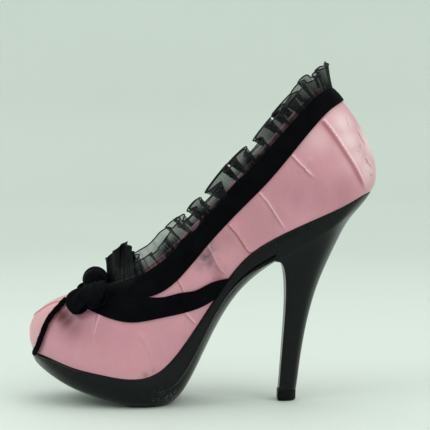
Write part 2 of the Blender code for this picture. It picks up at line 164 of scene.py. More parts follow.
# Part of the way down the sole's wall where it bulges most
WALL_BULGE = 0.35

# Scuff on the platform's rear edge: middle x and reach, middle height and reach; it is only on
# the outer side of a line along the sole
SCUFF = (-19.0, 8.0, 6.5, 3.6)
SCUFF_SIDE = -8.0

# The tread is fully rubbed up to the first height and not above the second
TREAD_HEIGHTS = (0.15, 1.6)

# Heel levels from the seat down: front x and height, back x and height, half width, and how
# far the middle of the front edge dips
HEEL = (
    (45.33, 102.9, 105.7, 131.2, 25.0, 0.0),
    (45.33, 102.1, 105.4, 130.2, 25.6, 0.0),
    (45.33, 97.5, 102.7, 126.2, 25.8, 0.0),
    (45.33, 91.4, 98.8, 121.4, 25.4, 0.9),
    (45.33, 88.8, 95.6, 117.8, 24.8, 1.8),
    (48.8, 87.4, 90.4, 110.8, 22.4, 1.0),
    (51.2, 81.0, 84.1, 98.8, 18.6, 0.2),
    (52.0, 70.5, 75.9, 81.0, 14.6, 0.0),
    (51.8, 58.0, 69.7, 63.8, 11.8, 0.0),
    (50.8, 43.0, 65.0, 44.8, 9.9, 0.0),
    (49.5, 26.0, 61.9, 26.6, 8.6, 0.0),
    (48.6, 14.0, 60.2, 14.0, 8.0, 0.0),
    (47.9, 6.4, 59.1, 6.4, 7.8, 0.0),
)

# Levels of the heel tip, with the same columns
HEEL_TIP = (
    (47.7, 6.1, 58.9, 6.1, 7.9, 0.0),
    (47.4, 5.2, 59.0, 5.2, 8.0, 0.0),
    (47.3, 0.6, 58.9, 0.6, 8.0, 0.0),
    (47.7, 0.0, 58.5, 0.0, 7.6, 0.0),
)

# Share of a heel level's outline that goes round the back, while the rest crosses the front, and
# how hollow the front is as a share of the half width
HEEL_ROUND = 0.78
HEEL_HOLLOW = 0.05

# Vamp strap, bow to sole: lower edge (ring place, fraction up), upper edge (same)
STRAP = (
    (11.15, 0.590, 11.75, 0.735),
    (10.55, 0.562, 10.75, 0.772),
    (9.68, 0.522, 9.70, 0.746),
    (8.97, 0.495, 8.97, 0.718),
    (8.38, 0.480, 8.38, 0.676),
    (7.75, 0.435, 7.78, 0.610),
    (7.10, 0.325, 7.10, 0.510),
    (6.58, 0.185, 6.53, 0.360),
    (6.20, 0.065, 6.03, 0.225),
    (6.00, 0.010, 5.52, 0.010),
)

# Toe piping, sole to bow: ring place, fraction up
PIPING = (
    (12.90, 0.012),
    (12.44, 0.092),
    (12.22, 0.200),
    (12.18, 0.290),
    (12.19, 0.400),
    (12.21, 0.475),
    (12.27, 0.540),
    (12.42, 0.612),
)

# Creases of the satin: height, width of the flank towards the toe, width of the flank towards the
# heel, how dark the painted shade line along its toe flank is (0 to 1; at the heel rubs the line stands
# for worn streaks), then its run as ring place and fraction up
CREASES = {
    "counter ridge": (
        1.70, 3.2, 4.6, 0.80,
        ((2.10, 0.840), (1.91, 0.652), (1.78, 0.508), (1.58, 0.340), (1.36, 0.203), (1.04, 0.092))),
    "heel rub high": (0.50, 0.8, 0.9, 0.70, ((0.86, 0.610), (0.85, 0.547), (0.80, 0.515), (0.80, 0.463))),
    "heel rub low": (0.50, 0.8, 0.9, 0.65, ((1.02, 0.400), (0.95, 0.357), (0.85, 0.325), (0.70, 0.292))),
    "heel rub top": (0.40, 0.8, 0.9, 0.50, ((1.05, 0.740), (1.10, 0.708), (1.18, 0.675), (1.20, 0.645))),
    "short ridge": (1.40, 1.0, 1.1, 0.55,
                    ((3.27, 0.790), (3.09, 0.628), (2.96, 0.532), (2.88, 0.468), (2.76, 0.398))),
    "short ridge foot": (0.70, 1.8, 2.2, 0.0, ((3.12, 0.515), (2.89, 0.545), (2.69, 0.590))),
    "shank line": (0.85, 0.7, 0.9, 0.45,
                   ((4.35, 0.660), (4.15, 0.473), (4.01, 0.315), (3.86, 0.152), (3.71, 0.020))),
    "arch tuck": (
        1.05, 0.8, 3.2, 1.0,
        ((5.37, 0.655), (5.15, 0.440), (5.01, 0.263), (4.88, 0.100), (4.76, 0.026), (4.58, 0.008))),
    "arch tuck lip": (0.25, 0.9, 0.8, 0.0, ((5.32, 0.530), (5.13, 0.290), (4.95, 0.090), (4.80, 0.006))),
    "rise trough": (-0.65, 0.9, 0.9, 0.45,
                    ((6.30, 0.755), (6.05, 0.565), (5.93, 0.422), (5.80, 0.270), (5.70, 0.155))),
    "rise ridge": (0.70, 0.7, 1.2, 0.22,
                   ((6.13, 0.730), (5.95, 0.537), (5.84, 0.372), (5.69, 0.188), (5.58, 0.090))),
    "strap pucker": (-0.55, 1.2, 1.2, 0.30, ((5.98, 0.258), (5.83, 0.158), (5.64, 0.098))),
    "vamp tuck": (0.80, 0.6, 2.5, 0.85, ((7.25, 0.680), (7.05, 0.560), (6.92, 0.455))),
    "vamp fold front": (
        0.95, 1.1, 2.4, 0.16,
        ((10.52, 0.600), (10.39, 0.505), (10.34, 0.410), (10.29, 0.300))),
    "vamp fold middle": (
        0.60, 1.2, 2.0, 0.05,
        ((8.70, 0.400), (8.45, 0.312), (8.26, 0.215), (8.20, 0.130))),
    "vamp fold back": (0.75, 0.9, 1.6, 0.40, ((6.97, 0.310), (6.78, 0.175), (6.58, 0.007))),
    "bow dent": (-0.90, 4.5, 6.5, 0.0, ((11.95, 0.430), (11.62, 0.420), (11.40, 0.370))),
    "toe crease": (
        0.70, 0.9, 1.5, 0.95,
        ((13.92, 0.325), (13.62, 0.385), (13.40, 0.435), (13.20, 0.535), (12.90, 0.590), (12.61, 0.618))),
    "inner counter ridge": (
        1.20, 1.6, 6.0, 0.20,
        ((25.70, 0.830), (26.00, 0.560), (26.40, 0.300), (26.80, 0.110))),
    "inner seat ridge": (0.80, 1.2, 2.0, 0.30, ((24.55, 0.750), (24.85, 0.560), (25.10, 0.400))),
    "inner shank line": (0.55, 0.7, 1.0, 0.25, ((23.45, 0.660), (23.75, 0.400), (24.10, 0.060))),
    "inner arch tuck": (0.80, 0.7, 3.5, 0.70, ((22.35, 0.655), (22.70, 0.360), (23.05, 0.080))),
    "inner rise ridge": (0.55, 0.9, 1.3, 0.30, ((21.60, 0.720), (22.00, 0.420), (22.30, 0.110))),
    "inner vamp tuck": (0.60, 0.7, 2.5, 0.55, ((20.80, 0.680), (21.00, 0.540), (21.15, 0.440))),
    "inner vamp fold": (0.40, 1.8, 2.0, 0.0, ((17.70, 0.580), (17.62, 0.450), (17.75, 0.310))),
    "inner ball fold": (0.30, 1.6, 1.6, 0.0, ((19.30, 0.410), (19.55, 0.280), (19.70, 0.150))),
    "inner bow dent": (-0.90, 4.5, 6.0, 0.0, ((16.10, 0.430), (16.40, 0.420), (16.65, 0.370))),
}

# A crease whose painted shade line is at least this dark is a pressed tuck, with hardly a painted
# highlight on its crest. Other crests get a painted highlight as bright as their line is dark, up to a
# limit.
TUCK_LINE = 0.82
TUCK_CREST = 0.12
CREST_LIMIT = 0.6

# Points that stand for a run of table rows where distances from it are measured
RUN_POINTS = 25
PANEL_POINTS = 60

# Marks on the satin: ring place, fraction up, reach in millimetres, strength
SMEARS = (
    (6.24, 0.625, 5.0, 1.0), (6.12, 0.570, 5.4, 1.0), (6.03, 0.460, 4.4, 0.75),
    (5.95, 0.600, 6.0, 0.55), (6.32, 0.530, 3.4, 0.60), (5.92, 0.330, 3.2, 0.30),
)
# Painted shade: under the bow beside the piping, below the straps, and across the quarter and the low
# counter
PAINTED_SHADE = (
    (12.00, 0.462, 5.0, 0.86), (11.82, 0.448, 7.5, 0.97), (11.52, 0.415, 8.5, 0.88),
    (11.15, 0.385, 9.5, 0.60), (10.75, 0.400, 10.0, 0.30), (11.84, 0.370, 7.0, 0.48),
    (10.00, 0.420, 13.0, 0.18), (9.30, 0.400, 12.0, 0.14), (4.60, 0.400, 16.0, 0.16),
    (3.60, 0.450, 14.0, 0.20), (3.30, 0.330, 11.0, 0.23), (2.80, 0.300, 14.0, 0.14),
    (2.70, 0.220, 10.0, 0.18), (2.10, 0.160, 12.0, 0.22), (3.95, 0.260, 9.0, 0.19),
    (5.80, 0.200, 5.0, 0.34), (5.40, 0.480, 7.0, 0.24), (24.70, 0.300, 12.0, 0.22),
    (22.40, 0.300, 9.0, 0.20), (16.28, 0.440, 6.5, 0.70), (16.65, 0.410, 8.0, 0.50),
)
# Painted highlights on the counter, the heel back and the inner counter, where the satin's sheen catches
# the light
PAINTED_HIGHLIGHTS = (
    (1.46, 0.565, 9.0, 0.80), (1.40, 0.420, 9.0, 0.66), (1.36, 0.700, 9.0, 0.80),
    (1.05, 0.300, 9.0, 0.74), (0.40, 0.500, 12.0, 0.92), (2.40, 0.690, 9.0, 0.35),
    (26.60, 0.560, 12.0, 0.50), (0.0, 0.250, 10.0, 0.70),
)
STAINS = (
    (8.45, 0.012, 3.0, 0.7), (8.22, 0.030, 2.6, 0.6), (8.62, 0.004, 2.0, 0.5),
)
SPECKS = (
    (1.18, 0.482, 3.0, 0.8), (1.09, 0.420, 2.6, 0.7), (1.04, 0.350, 2.6, 0.8), (0.93, 0.283, 2.8, 0.9),
    (0.86, 0.223, 2.4, 0.7),
)

# Bow loops on the outer side: how closed the neck is (0 to 1), half width, puff, then the ribbon's
# run from neck to end as ring place and fraction up
BOW_LOOPS = {
    "bow_loop": (0.80, 7.6, 8.4, ((11.57, 0.813), (11.24, 0.757), (10.92, 0.683), (10.66, 0.598))),
    "bow_petal": (0.70, 7.2, 7.0, ((11.70, 0.735), (11.54, 0.655), (11.38, 0.576), (11.26, 0.500))),
}

# Knot of the bow, a rolled ribbon across the vamp: middle x, y, z, radius and half length
KNOT = (-67.3, -1.5, 75.6, 8.5, 12.5)

# Frill hem, one row for each turn of the gathers round the collar, in and out by turns: ring place,
# height of the hem above the band, lean outwards
FRILL = (
    (0.10, 17.0, 1.2), (0.75, 15.2, 2.4), (1.15, 14.2, -1.2), (1.50, 11.4, 2.4), (1.85, 14.6, -1.8),
    (2.30, 10.6, 2.6), (2.85, 12.6, -2.0), (3.20, 10.6, 2.8), (3.55, 11.4, -2.0), (4.02, 6.6, 3.0),
    (4.45, 12.4, -2.0), (4.72, 10.8, 2.8), (5.05, 12.6, -2.2), (5.62, 6.8, 3.0), (5.98, 12.6, -2.0),
    (6.38, 7.8, 3.0), (6.80, 14.2, -2.0), (7.15, 9.6, 3.2), (7.50, 8.6, -0.8), (7.95, 6.8, 2.6),
    (8.35, 8.8, -0.8), (8.75, 8.2, 2.4), (9.14, 15.0, -1.6), (9.80, 22.8, 1.0), (10.60, 25.2, -1.0),
    (11.60, 21.5, 2.2), (12.70, 18.6, 1.6), (14.00, 16.0, 4.0), (15.30, 18.6, 1.6), (16.40, 20.5, 2.2),
    (17.45, 21.5, -1.0), (18.20, 16.0, 1.6), (18.75, 14.4, -0.6), (19.25, 13.0, 1.0), (19.75, 13.0, -0.6),
    (20.20, 13.4, 1.0), (20.65, 13.8, -0.8), (21.05, 10.4, 3.0), (21.30, 12.6, -1.8), (21.62, 7.6, 3.0),
    (22.00, 12.0, -2.0), (22.38, 6.8, 3.0), (22.95, 11.8, -2.0), (23.30, 10.4, 2.8), (23.60, 11.4, -1.8),
    (23.98, 6.8, 3.0), (24.50, 11.2, -2.0), (24.85, 10.0, 2.8), (25.15, 11.8, -2.0), (25.50, 9.2, 2.6),
    (26.10, 13.6, -1.8), (26.50, 10.8, 2.4), (26.90, 13.8, -1.2), (27.35, 14.6, 2.2),
)

# Foot of the frill: how far below the band's upper edge, as a fraction up, and how far off the skin
FRILL_TUCKED = 0.003
FRILL_OFF = 1.05

# Clear gap between a piece and what it lies on
GAP = 0.3

# Rows of the upper's grid: satin up to the topline, over the roll, down the lining, round the foot;
# its columns; and the fraction up where they are spaced evenly
UPPER_STEPS = (0.0, 92.0, 98.0, 112.0, 114.0)
UPPER_COLUMNS = 760
UPPER_EVEN = 0.35

# Columns of the frill's grid and of its hem
FRILL_COLUMNS = 2000

# Edges that meet closer than this are one, and slivers thinner than this are taken out, in metres
WELD = 0.000002
SLIVER = 0.000001

# Edges that turn more than this are hard
HARD_EDGE = math.radians(50.0)

# Point that the lights are turned to, and the sweep of the paper from the middle out as reach and
# height, all in metres
LIGHT_AIM = (0.0, 0.0, 0.10)
PAPER_SWEEP = (
    (0.0, -0.0003), (0.8, -0.0003), (1.5, 0.0), (2.1, 0.08), (2.5, 0.32), (2.7, 0.8), (2.75, 1.6),
)

# Sides of the shoe: name, and whether it mirrors the outer side
SIDES = (("outer", False), ("inner", True))


def spline(points, closed):
    """Cubic spline through points at whole-number places; closed joins the last to the first."""
    points = np.asarray(points, dtype=float)
    count = len(points)
    system = 4.0 * np.eye(count)
    system += np.roll(np.eye(count), 1, axis=0) + np.roll(np.eye(count), -1, axis=0)
    bend = 6.0 * (np.roll(points, 1, axis=0) - 2.0 * points + np.roll(points, -1, axis=0))
    if not closed:
        system[0, :] = 0.0
        system[-1, :] = 0.0
        system[0, 0] = 1.0
        system[-1, -1] = 1.0
        bend[0] = 0.0
        bend[-1] = 0.0
    curve = np.linalg.solve(system, bend)

    def value(place):
        place = np.asarray(place, dtype=float)
        if closed:
            place = place % count
            first = np.floor(place).astype(int) % count
            second = (first + 1) % count
        else:
            first = np.clip(np.floor(place).astype(int), 0, count - 2)
            second = first + 1
        part = (place - first)[..., None]
        rest = 1.0 - part
        straight = rest * points[first] + part * points[second]
        return straight + ((rest ** 3 - rest) * curve[first] + (part ** 3 - part) * curve[second]) / 6.0

    return value


def ring_points(x, outer, inner, height):
    """Closed ring of points from table columns: outer side first, then inner side back."""
    outer_side = np.column_stack([x - MIDDLE_X, -outer - MIDDLE_Y, height]) * MM
    inner_side = np.column_stack([x - MIDDLE_X, inner - MIDDLE_Y, height]) * MM
    return np.vstack([outer_side, inner_side[-2:0:-1]])


def ring_rows(columns):
    """Repeat heel-to-toe rows along the inner side so that they match ring_points."""
    return np.vstack([columns, columns[-2:0:-1]])


feather_table = np.array(FEATHER)
topline_table = np.array(TOPLINE)
fullness_table = ring_rows(np.array(FULLNESS))
outward_sign = np.concatenate([-np.ones(LAST_PLACE + 1), np.ones(LAST_PLACE - 1)])

sole_edge = ring_points(*feather_table.T)
skin_foot = sole_edge + np.array([0.0, 0.0, GAP * MM])
skin_top = ring_points(*topline_table[:, :4].T)
leave = fullness_table[:, 0:3] * MM
arrive = fullness_table[:, 3:6] * MM
leave[:, 1] *= outward_sign
arrive[:, 1] *= outward_sign

sole_edge_at = spline(sole_edge, True)
foot_at = spline(skin_foot, True)
low_at = spline(skin_foot + leave, True)
high_at = spline(skin_top + arrive, True)
top_at = spline(skin_top, True)
band_at = spline(ring_rows(topline_table[:, 4:6]), True)
sole_at = spline(np.array(SOLE), False)


def skin(place, up):
    """Point on the outer face of the last; past 1 it runs straight on above the topline."""
    place, up = np.broadcast_arrays(np.asarray(place, float), np.asarray(up, float))
    within = np.minimum(up, 1.0)[..., None]
    beyond = (up - np.minimum(up, 1.0))[..., None]
    rest = 1.0 - within
    high = high_at(place)
    top = top_at(place)
    body = rest ** 3 * foot_at(place) + 3.0 * within * rest ** 2 * low_at(place)
    body = body + 3.0 * within ** 2 * rest * high + within ** 3 * top
    return body + beyond * 3.0 * (top - high)


def unit(vectors):
    """Vectors of length one."""
    return vectors / np.linalg.norm(vectors, axis=-1, keepdims=True)


def skin_normal(place, up):
    """Outward normal of the skin."""
    step = 0.001
    place, up = np.broadcast_arrays(np.asarray(place, float), np.asarray(up, float))
    along = skin(place + step, up) - skin(place - step, up)
    rise = skin(place, up + step) - skin(place, up - step)
    return unit(np.cross(rise, along))


def off_skin(place, up, distance):
    """Point at a distance in metres off the skin."""
    return skin(place, up) + skin_normal(place, up) * np.asarray(distance)[..., None]


def plan_outward(place):
    """Outward direction of the feather line seen from above."""
    step = 0.001
    along = sole_edge_at(place + step) - sole_edge_at(place - step)
    return unit(np.stack([-along[..., 1], along[..., 0], np.zeros(along.shape[:-1])], axis=-1))


def even_ring(share, line):
    """Ring places for shares of the way round, spaced evenly by length along a ring line."""
    fine = np.linspace(0.0, RING_COUNT, 60 * RING_COUNT + 1)
    steps = np.linalg.norm(np.diff(line(fine), axis=0), axis=1)
    length = np.concatenate([[0.0], np.cumsum(steps)])
    return np.interp(share * length[-1], length, fine)


def part_way(low, high, value):
    """How far a value is on its way from low to high, held between 0 and 1."""
    return np.clip((value - low) / (high - low), 0.0, 1.0)


def ease(low, high, value):
    """Smooth step from 0 at low to 1 at high."""
    part = part_way(low, high, value)
    return part * part * (3.0 - 2.0 * part)


def between(start, end, share):
    """Value at a share of the way from start to end."""
    return start + (end - start) * share


def squared_to(run, way):
    """A direction turned square to a run."""
    return unit(way - run * np.sum(way * run, axis=1, keepdims=True))


def row_at(rows, share):
    """Values of a short table at shares of the way along it, by spline."""
    return spline(np.array(rows), False)(share * (len(rows) - 1.0))


def on_side(place, inner):
    """The ring place itself, or its mirror place on the inner side."""
    return RING_COUNT - place if inner else place


def path_frame(rows, here, ahead, behind, inner):
    """Skin point, outward normal and direction of a run of table rows, from shares of the way along it."""
    places = []
    for share in (here, ahead, behind):
        place, up = row_at(rows, share).T
        places.append((on_side(place, inner), up))
    run = unit(skin(*places[1]) - skin(*places[2]))
    return skin(*places[0]), skin_normal(*places[0]), run


def ring_round(first, second, angle):
    """Directions round a tube, between two directions across it."""
    return first * np.cos(angle)[:, None] + second * np.sin(angle)[:, None]


def ribbon_section(turn, thickness, crown):
    """Section of a soft ribbon: place across from -1 to 1 and height over its back, for turns 0 to 1."""
    angle = 2.0 * math.pi * turn
    across = np.sign(np.cos(angle)) * np.abs(np.cos(angle)) ** 0.35
    side = np.sign(np.sin(angle)) * np.abs(np.sin(angle)) ** 0.55
    height = 0.5 * thickness * (1.0 + side)
    height = height + np.where(side > 0.0, crown * side * (1.0 - across ** 2), 0.0)
    return across, height


def wrapped_grid(columns, rows, shape, join_columns=False, join_rows=False, cloth=(1.0, 1.0), marks=None,
                 finish_number=None):
    """Flat grid laid onto the shoe by shape(along, across); joined edges are merged, cloth is the UV size.

    marks(along, across) gives named values at the corners, and finish_number the finish of each face.
    """
    body = bmesh.new()
    bmesh.ops.create_grid(body, x_segments=columns, y_segments=rows, size=0.5)
    body.verts.ensure_lookup_table()
    body.verts.index_update()
    counts = np.array([columns, rows])
    flat = np.rint((np.array([corner.co[:2] for corner in body.verts]) + 0.5) * counts) / counts
    along, across = flat.T
    points = shape(along, across)
    for joined, ends, order in ((join_rows, across, along), (join_columns, along, across)):
        if joined:
            first = np.flatnonzero(ends == 0.0)
            last = np.flatnonzero(ends == 1.0)
            points[last[np.argsort(order[last])]] = points[first[np.argsort(order[first])]]
    weave_map = body.loops.layers.uv.new("cloth")
    places = flat * np.array(cloth)
    for face in body.faces:
        face.smooth = True
        for loop in face.loops:
            loop[weave_map].uv = places[loop.vert.index]
        if finish_number:
            middle = np.mean(flat[[corner.index for corner in face.verts]], axis=0)
            face.material_index = finish_number(middle[0], middle[1])
    for name, value in (marks(along, across) if marks else {}).items():
        layer = body.verts.layers.float.new(name)
        for corner, number in zip(body.verts, value):
            corner[layer] = number
    for corner, point in zip(body.verts, points):
        corner.co = point
    if join_columns or join_rows:
        corners = [corner for corner in body.verts if corner.is_boundary]
        bmesh.ops.remove_doubles(body, verts=corners, dist=WELD)
    return body


def sheet_body(columns, rows, shape, **options):
    """Wrapped grid left open, with its faces turned one way."""
    body = wrapped_grid(columns, rows, shape, **options)
    bmesh.ops.recalc_face_normals(body, faces=body.faces[:])
    return body


def solid_body(columns, rows, shape, **options):
    """Wrapped grid with its open ends capped, its faces turned outward and its hard edges marked."""
    body = wrapped_grid(columns, rows, shape, **options)
    rims = [edge for edge in body.edges if edge.is_boundary]
    if rims:
        bmesh.ops.holes_fill(body, edges=rims, sides=0)
    bmesh.ops.dissolve_degenerate(body, edges=body.edges[:], dist=SLIVER)
    bmesh.ops.recalc_face_normals(body, faces=body.faces[:])
    for edge in body.edges:
        if len(edge.link_faces) == 2 and edge.calc_face_angle() > HARD_EDGE:
            edge.smooth = False
    return body


def finish_piece(name, body, materials, nodes):
    """Make the object, give it its finishes, and let it stand for its CAD nodes."""
    mesh = bpy.data.meshes.new(name)
    body.to_mesh(mesh)
    body.free()
    piece = bpy.data.objects.new(name, mesh)
    bpy.context.scene.collection.objects.link(piece)
    for finish in materials:
        mesh.materials.append(finish)
    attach(piece, BODY)
    if nodes:
        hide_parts(*nodes)
    return piece


def crease_fields(place, up, points):
    """Height, painted shade line and painted crest highlight of all creases at points of the skin."""
    lift = np.zeros(len(points))
    bright = np.zeros(len(points))
    dark = np.zeros(len(points))
    for height, toe_flank, heel_flank, line, run in CREASES.values():
        path = row_at(run, np.linspace(0.0, 1.0, RUN_POINTS))
        line_points = skin(path[:, 0], path[:, 1])
        reach = 3.0 * max(toe_flank, heel_flank) * MM
        above = points > line_points.min(axis=0) - reach
        below = points < line_points.max(axis=0) + reach
        near = np.all(above & below, axis=1)
        spots = points[near]
        away = np.full(len(spots), np.inf)
        side = np.zeros(len(spots))
        share = np.zeros(len(spots))
        facing = skin_normal(path[:, 0], path[:, 1])
        for index in range(len(path) - 1):
            start = line_points[index]
            step = line_points[index + 1] - start
            part = np.clip((spots - start) @ step / (step @ step), 0.0, 1.0)
            offset = spots - start - part[:, None] * step
            distance = np.linalg.norm(offset, axis=1)
            closer = distance < away
            away = np.where(closer, distance, away)
            side = np.where(closer, offset @ np.cross(facing[index], step), side)
            share = np.where(closer, (index + part) / (len(path) - 1), share)
        towards_toe = np.where(path[0, 0] < LAST_PLACE, side, -side) < 0.0
        flank = np.where(towards_toe, toe_flank, heel_flank) * MM
        fade = ease(0.0, 0.08, share) * (1.0 - 0.85 * ease(0.72, 1.0, share))
        fall = np.exp(-(away / flank) ** 2) * fade
        # Painted shade along the toe flank of each crease; at the heel rubs the line stands for worn
        # streaks
        edge = np.exp(-((away / MM - 0.5 * toe_flank) / (0.25 + 0.35 * toe_flank)) ** 2) * towards_toe
        lift[near] += height * MM * fall
        dark[near] = np.maximum(dark[near], line * edge * fade)
        # Painted highlight along the crest
        crest = np.exp(-((away / MM - 0.35) / 0.5) ** 2) * ~towards_toe
        shine = min(line, CREST_LIMIT) if line < TUCK_LINE else TUCK_CREST
        bright[near] = np.maximum(bright[near], shine * (height > 0.0) * crest * fade)
    band_foot = band_at(place)[:, 0]
    open_satin = 1.0 - ease(-0.03, 0.02, up - band_foot)
    return lift * open_satin, dark * open_satin, bright * open_satin


def spot_field(points, spots):
    """Strength of soft round marks at points of the skin."""
    field = np.zeros(len(points))
    for place, up, reach, strength in spots:
        away = np.linalg.norm(points - skin(place, up), axis=1)
        field = np.maximum(field, strength * np.exp(-(away / (reach * MM)) ** 2))
    return field


def toe_panel_field(place, up):
    """1 on the toe panel in front of the piping, 0 behind it."""
    path = row_at(PIPING, np.linspace(0.0, 1.0, PANEL_POINTS))
    outer_place = np.where(place > LAST_PLACE, RING_COUNT - place, place)
    limit = np.interp(up, path[:, 1], path[:, 0])
    return ease(-0.12, 0.12, outer_place - limit)


def plug(tree, node, name, value):
    """Link an input of a node to a socket, or set it to a plain value."""
    if isinstance(value, bpy.types.NodeSocket):
        tree.links.new(value, node.inputs[name])
    else:
        node.inputs[name].default_value = value


def add_node(tree, kind, inputs=None, **settings):
    """Add a shader node with its settings and inputs."""
    made = tree.nodes.new(kind)
    for name, value in settings.items():
        setattr(made, name, value)
    for name, value in (inputs or {}).items():
        plug(tree, made, name, value)
    return made


def calculate(tree, operation, first, second=0.0, third=0.0):
    """Math node."""
    return add_node(tree, "ShaderNodeMath", {0: first, 1: second, 2: third}, operation=operation).outputs[0]


def product(tree, first, second):
    """One value times another."""
    return calculate(tree, "MULTIPLY", first, second)


def weigh(tree, value, weight, rest):
    """A value times its weight, added to the rest."""
    return calculate(tree, "MULTIPLY_ADD", value, weight, rest)


def remap(tree, value, low, high, to_low=0.0, to_high=1.0):
    """Map a value from one range to another, held at the ends."""
    inputs = {0: value, 1: low, 2: high, 3: to_low, 4: to_high}
    return add_node(tree, "ShaderNodeMapRange", inputs).outputs[0]


def coat(tree, colour, *layers):
    """Lay colours over a first colour one after another, each by its own amount."""
    for amount, tint in layers:
        inputs = {0: amount, 6: colour, 7: tint}
        colour = add_node(tree, "ShaderNodeMix", inputs, data_type="RGBA").outputs[2]
    return colour


def noise(tree, vector, scale, detail=2.0, roughness=0.5):
    """Noise value."""
    inputs = {"Vector": vector, "Scale": scale, "Detail": detail, "Roughness": roughness}
    return add_node(tree, "ShaderNodeTexNoise", inputs).outputs[0]


def stretched(tree, vector, scale, turn=0.0):
    """Vector scaled and turned by a Mapping node."""
    inputs = {"Vector": vector, "Scale": scale, "Rotation": (0.0, 0.0, turn)}
    return add_node(tree, "ShaderNodeMapping", inputs).outputs[0]


def mark(tree, name):
    """Value of one of the piece's own attributes."""
    return add_node(tree, "ShaderNodeAttribute", attribute_name=name).outputs["Fac"]


def cloth_map(tree):
    """The piece's own cloth map, in metres along and across the cloth."""
    return add_node(tree, "ShaderNodeUVMap", uv_map="cloth").outputs[0]


def object_map(tree):
    """Object coordinates, which are the shoe's own metres."""
    return add_node(tree, "ShaderNodeTexCoord").outputs["Object"]


def start_group(name, inputs, outputs):
    """New shader group with its input and output nodes; an input without a default is a place."""
    tree = bpy.data.node_groups.new(name, "ShaderNodeTree")
    for label, default in inputs.items():
        kind = "NodeSocketVector" if default is None else "NodeSocketFloat"
        made = tree.interface.new_socket(label, in_out="INPUT", socket_type=kind)
        if default is not None:
            made.default_value = default
    for label in outputs:
        tree.interface.new_socket(label, in_out="OUTPUT", socket_type="NodeSocketFloat")
    return tree, tree.nodes.new("NodeGroupInput").outputs, tree.nodes.new("NodeGroupOutput")


def woven_threads(name):
    """Group: crossing threads of a cloth, as a height and a cover mask."""
    inputs = {"Cloth": None, "Threads": 3000.0, "Waver": 0.3}
    tree, given, end = start_group(name, inputs, ("Height", "Cover"))
    wander = product(tree, noise(tree, given["Cloth"], 900.0), given["Waver"])
    parts = add_node(tree, "ShaderNodeSeparateXYZ", {0: given["Cloth"]})
    ridges = []
    for axis in (0, 1):
        count = weigh(tree, parts.outputs[axis], given["Threads"], wander)
        wave = calculate(tree, "SINE", product(tree, count, math.pi))
        ridges.append(calculate(tree, "ABSOLUTE", wave))
    height = calculate(tree, "MAXIMUM", *ridges)
    plug(tree, end, "Height", height)
    plug(tree, end, "Cover", remap(tree, height, 0.45, 0.95))
    return tree


def soft_pile(name):
    """Group: the nap of velvet, as a fine height and a brushed shade."""
    tree, given, end = start_group(name, {"Place": None, "Fineness": 2600.0}, ("Height", "Shade"))
    fine = noise(tree, given["Place"], given["Fineness"], 3.0, 0.65)
    brushed = noise(tree, stretched(tree, given["Place"], (1.0, 1.6, 0.7)), 130.0, 3.0, 0.55)
    shade = weigh(tree, fine, 0.35, product(tree, brushed, 0.75))
    plug(tree, end, "Height", fine)
    plug(tree, end, "Shade", remap(tree, shade, 0.35, 0.85))
    return tree


def handling_wear(name):
    """Group: fine scratches and cloudy smudges on a hard black surface."""
    tree, given, end = start_group(name, {"Place": None, "Scratch scale": 60.0}, ("Scratches", "Smudges"))
    lines = []
    for turn in (0.4, 1.9):
        drawn = stretched(tree, given["Place"], (1.0, 14.0, 14.0), turn)
        streak = noise(tree, drawn, given["Scratch scale"], 4.0, 0.7)
        lines.append(remap(tree, streak, 0.66, 0.74))
    cloudy = noise(tree, given["Place"], 45.0, 4.0, 0.6)
    plug(tree, end, "Scratches", calculate(tree, "MAXIMUM", *lines))
    plug(tree, end, "Smudges", remap(tree, cloudy, 0.35, 0.7))
    return tree


SHARED_GROUPS = {"Woven threads": woven_threads, "Soft pile": soft_pile, "Handling wear": handling_wear}


def use_group(tree, name, inputs):
    """Place a shared group in a material; it is made when it is first asked for."""
    group = bpy.data.node_groups.get(name) or SHARED_GROUPS[name](name)
    return add_node(tree, "ShaderNodeGroup", inputs, node_tree=group).outputs


def start_finish(name):
    """New material with an empty Principled shader; gives the material, tree and shader."""
    finish = bpy.data.materials.new(name)
    finish.use_nodes = True
    tree = finish.node_tree
    return finish, tree, tree.nodes["Principled BSDF"]


def settle(tree, shader, colour, roughness, height=None, bump=0.3, distance=0.0004, **channels):
    """Link or set the channels of a finish; a height gives it relief."""
    channels.update(Base_Color=colour, Roughness=roughness)
    if height is not None:
        inputs = {"Strength": bump, "Distance": distance, "Height": height}
        channels["Normal"] = add_node(tree, "ShaderNodeBump", inputs).outputs[0]
    for label, value in channels.items():
        plug(tree, shader, label.replace("_", " "), value)


def opaque(colour, share=1.0):
    """Colour with full alpha, scaled."""
    return (colour[0] * share, colour[1] * share, colour[2] * share, 1.0)


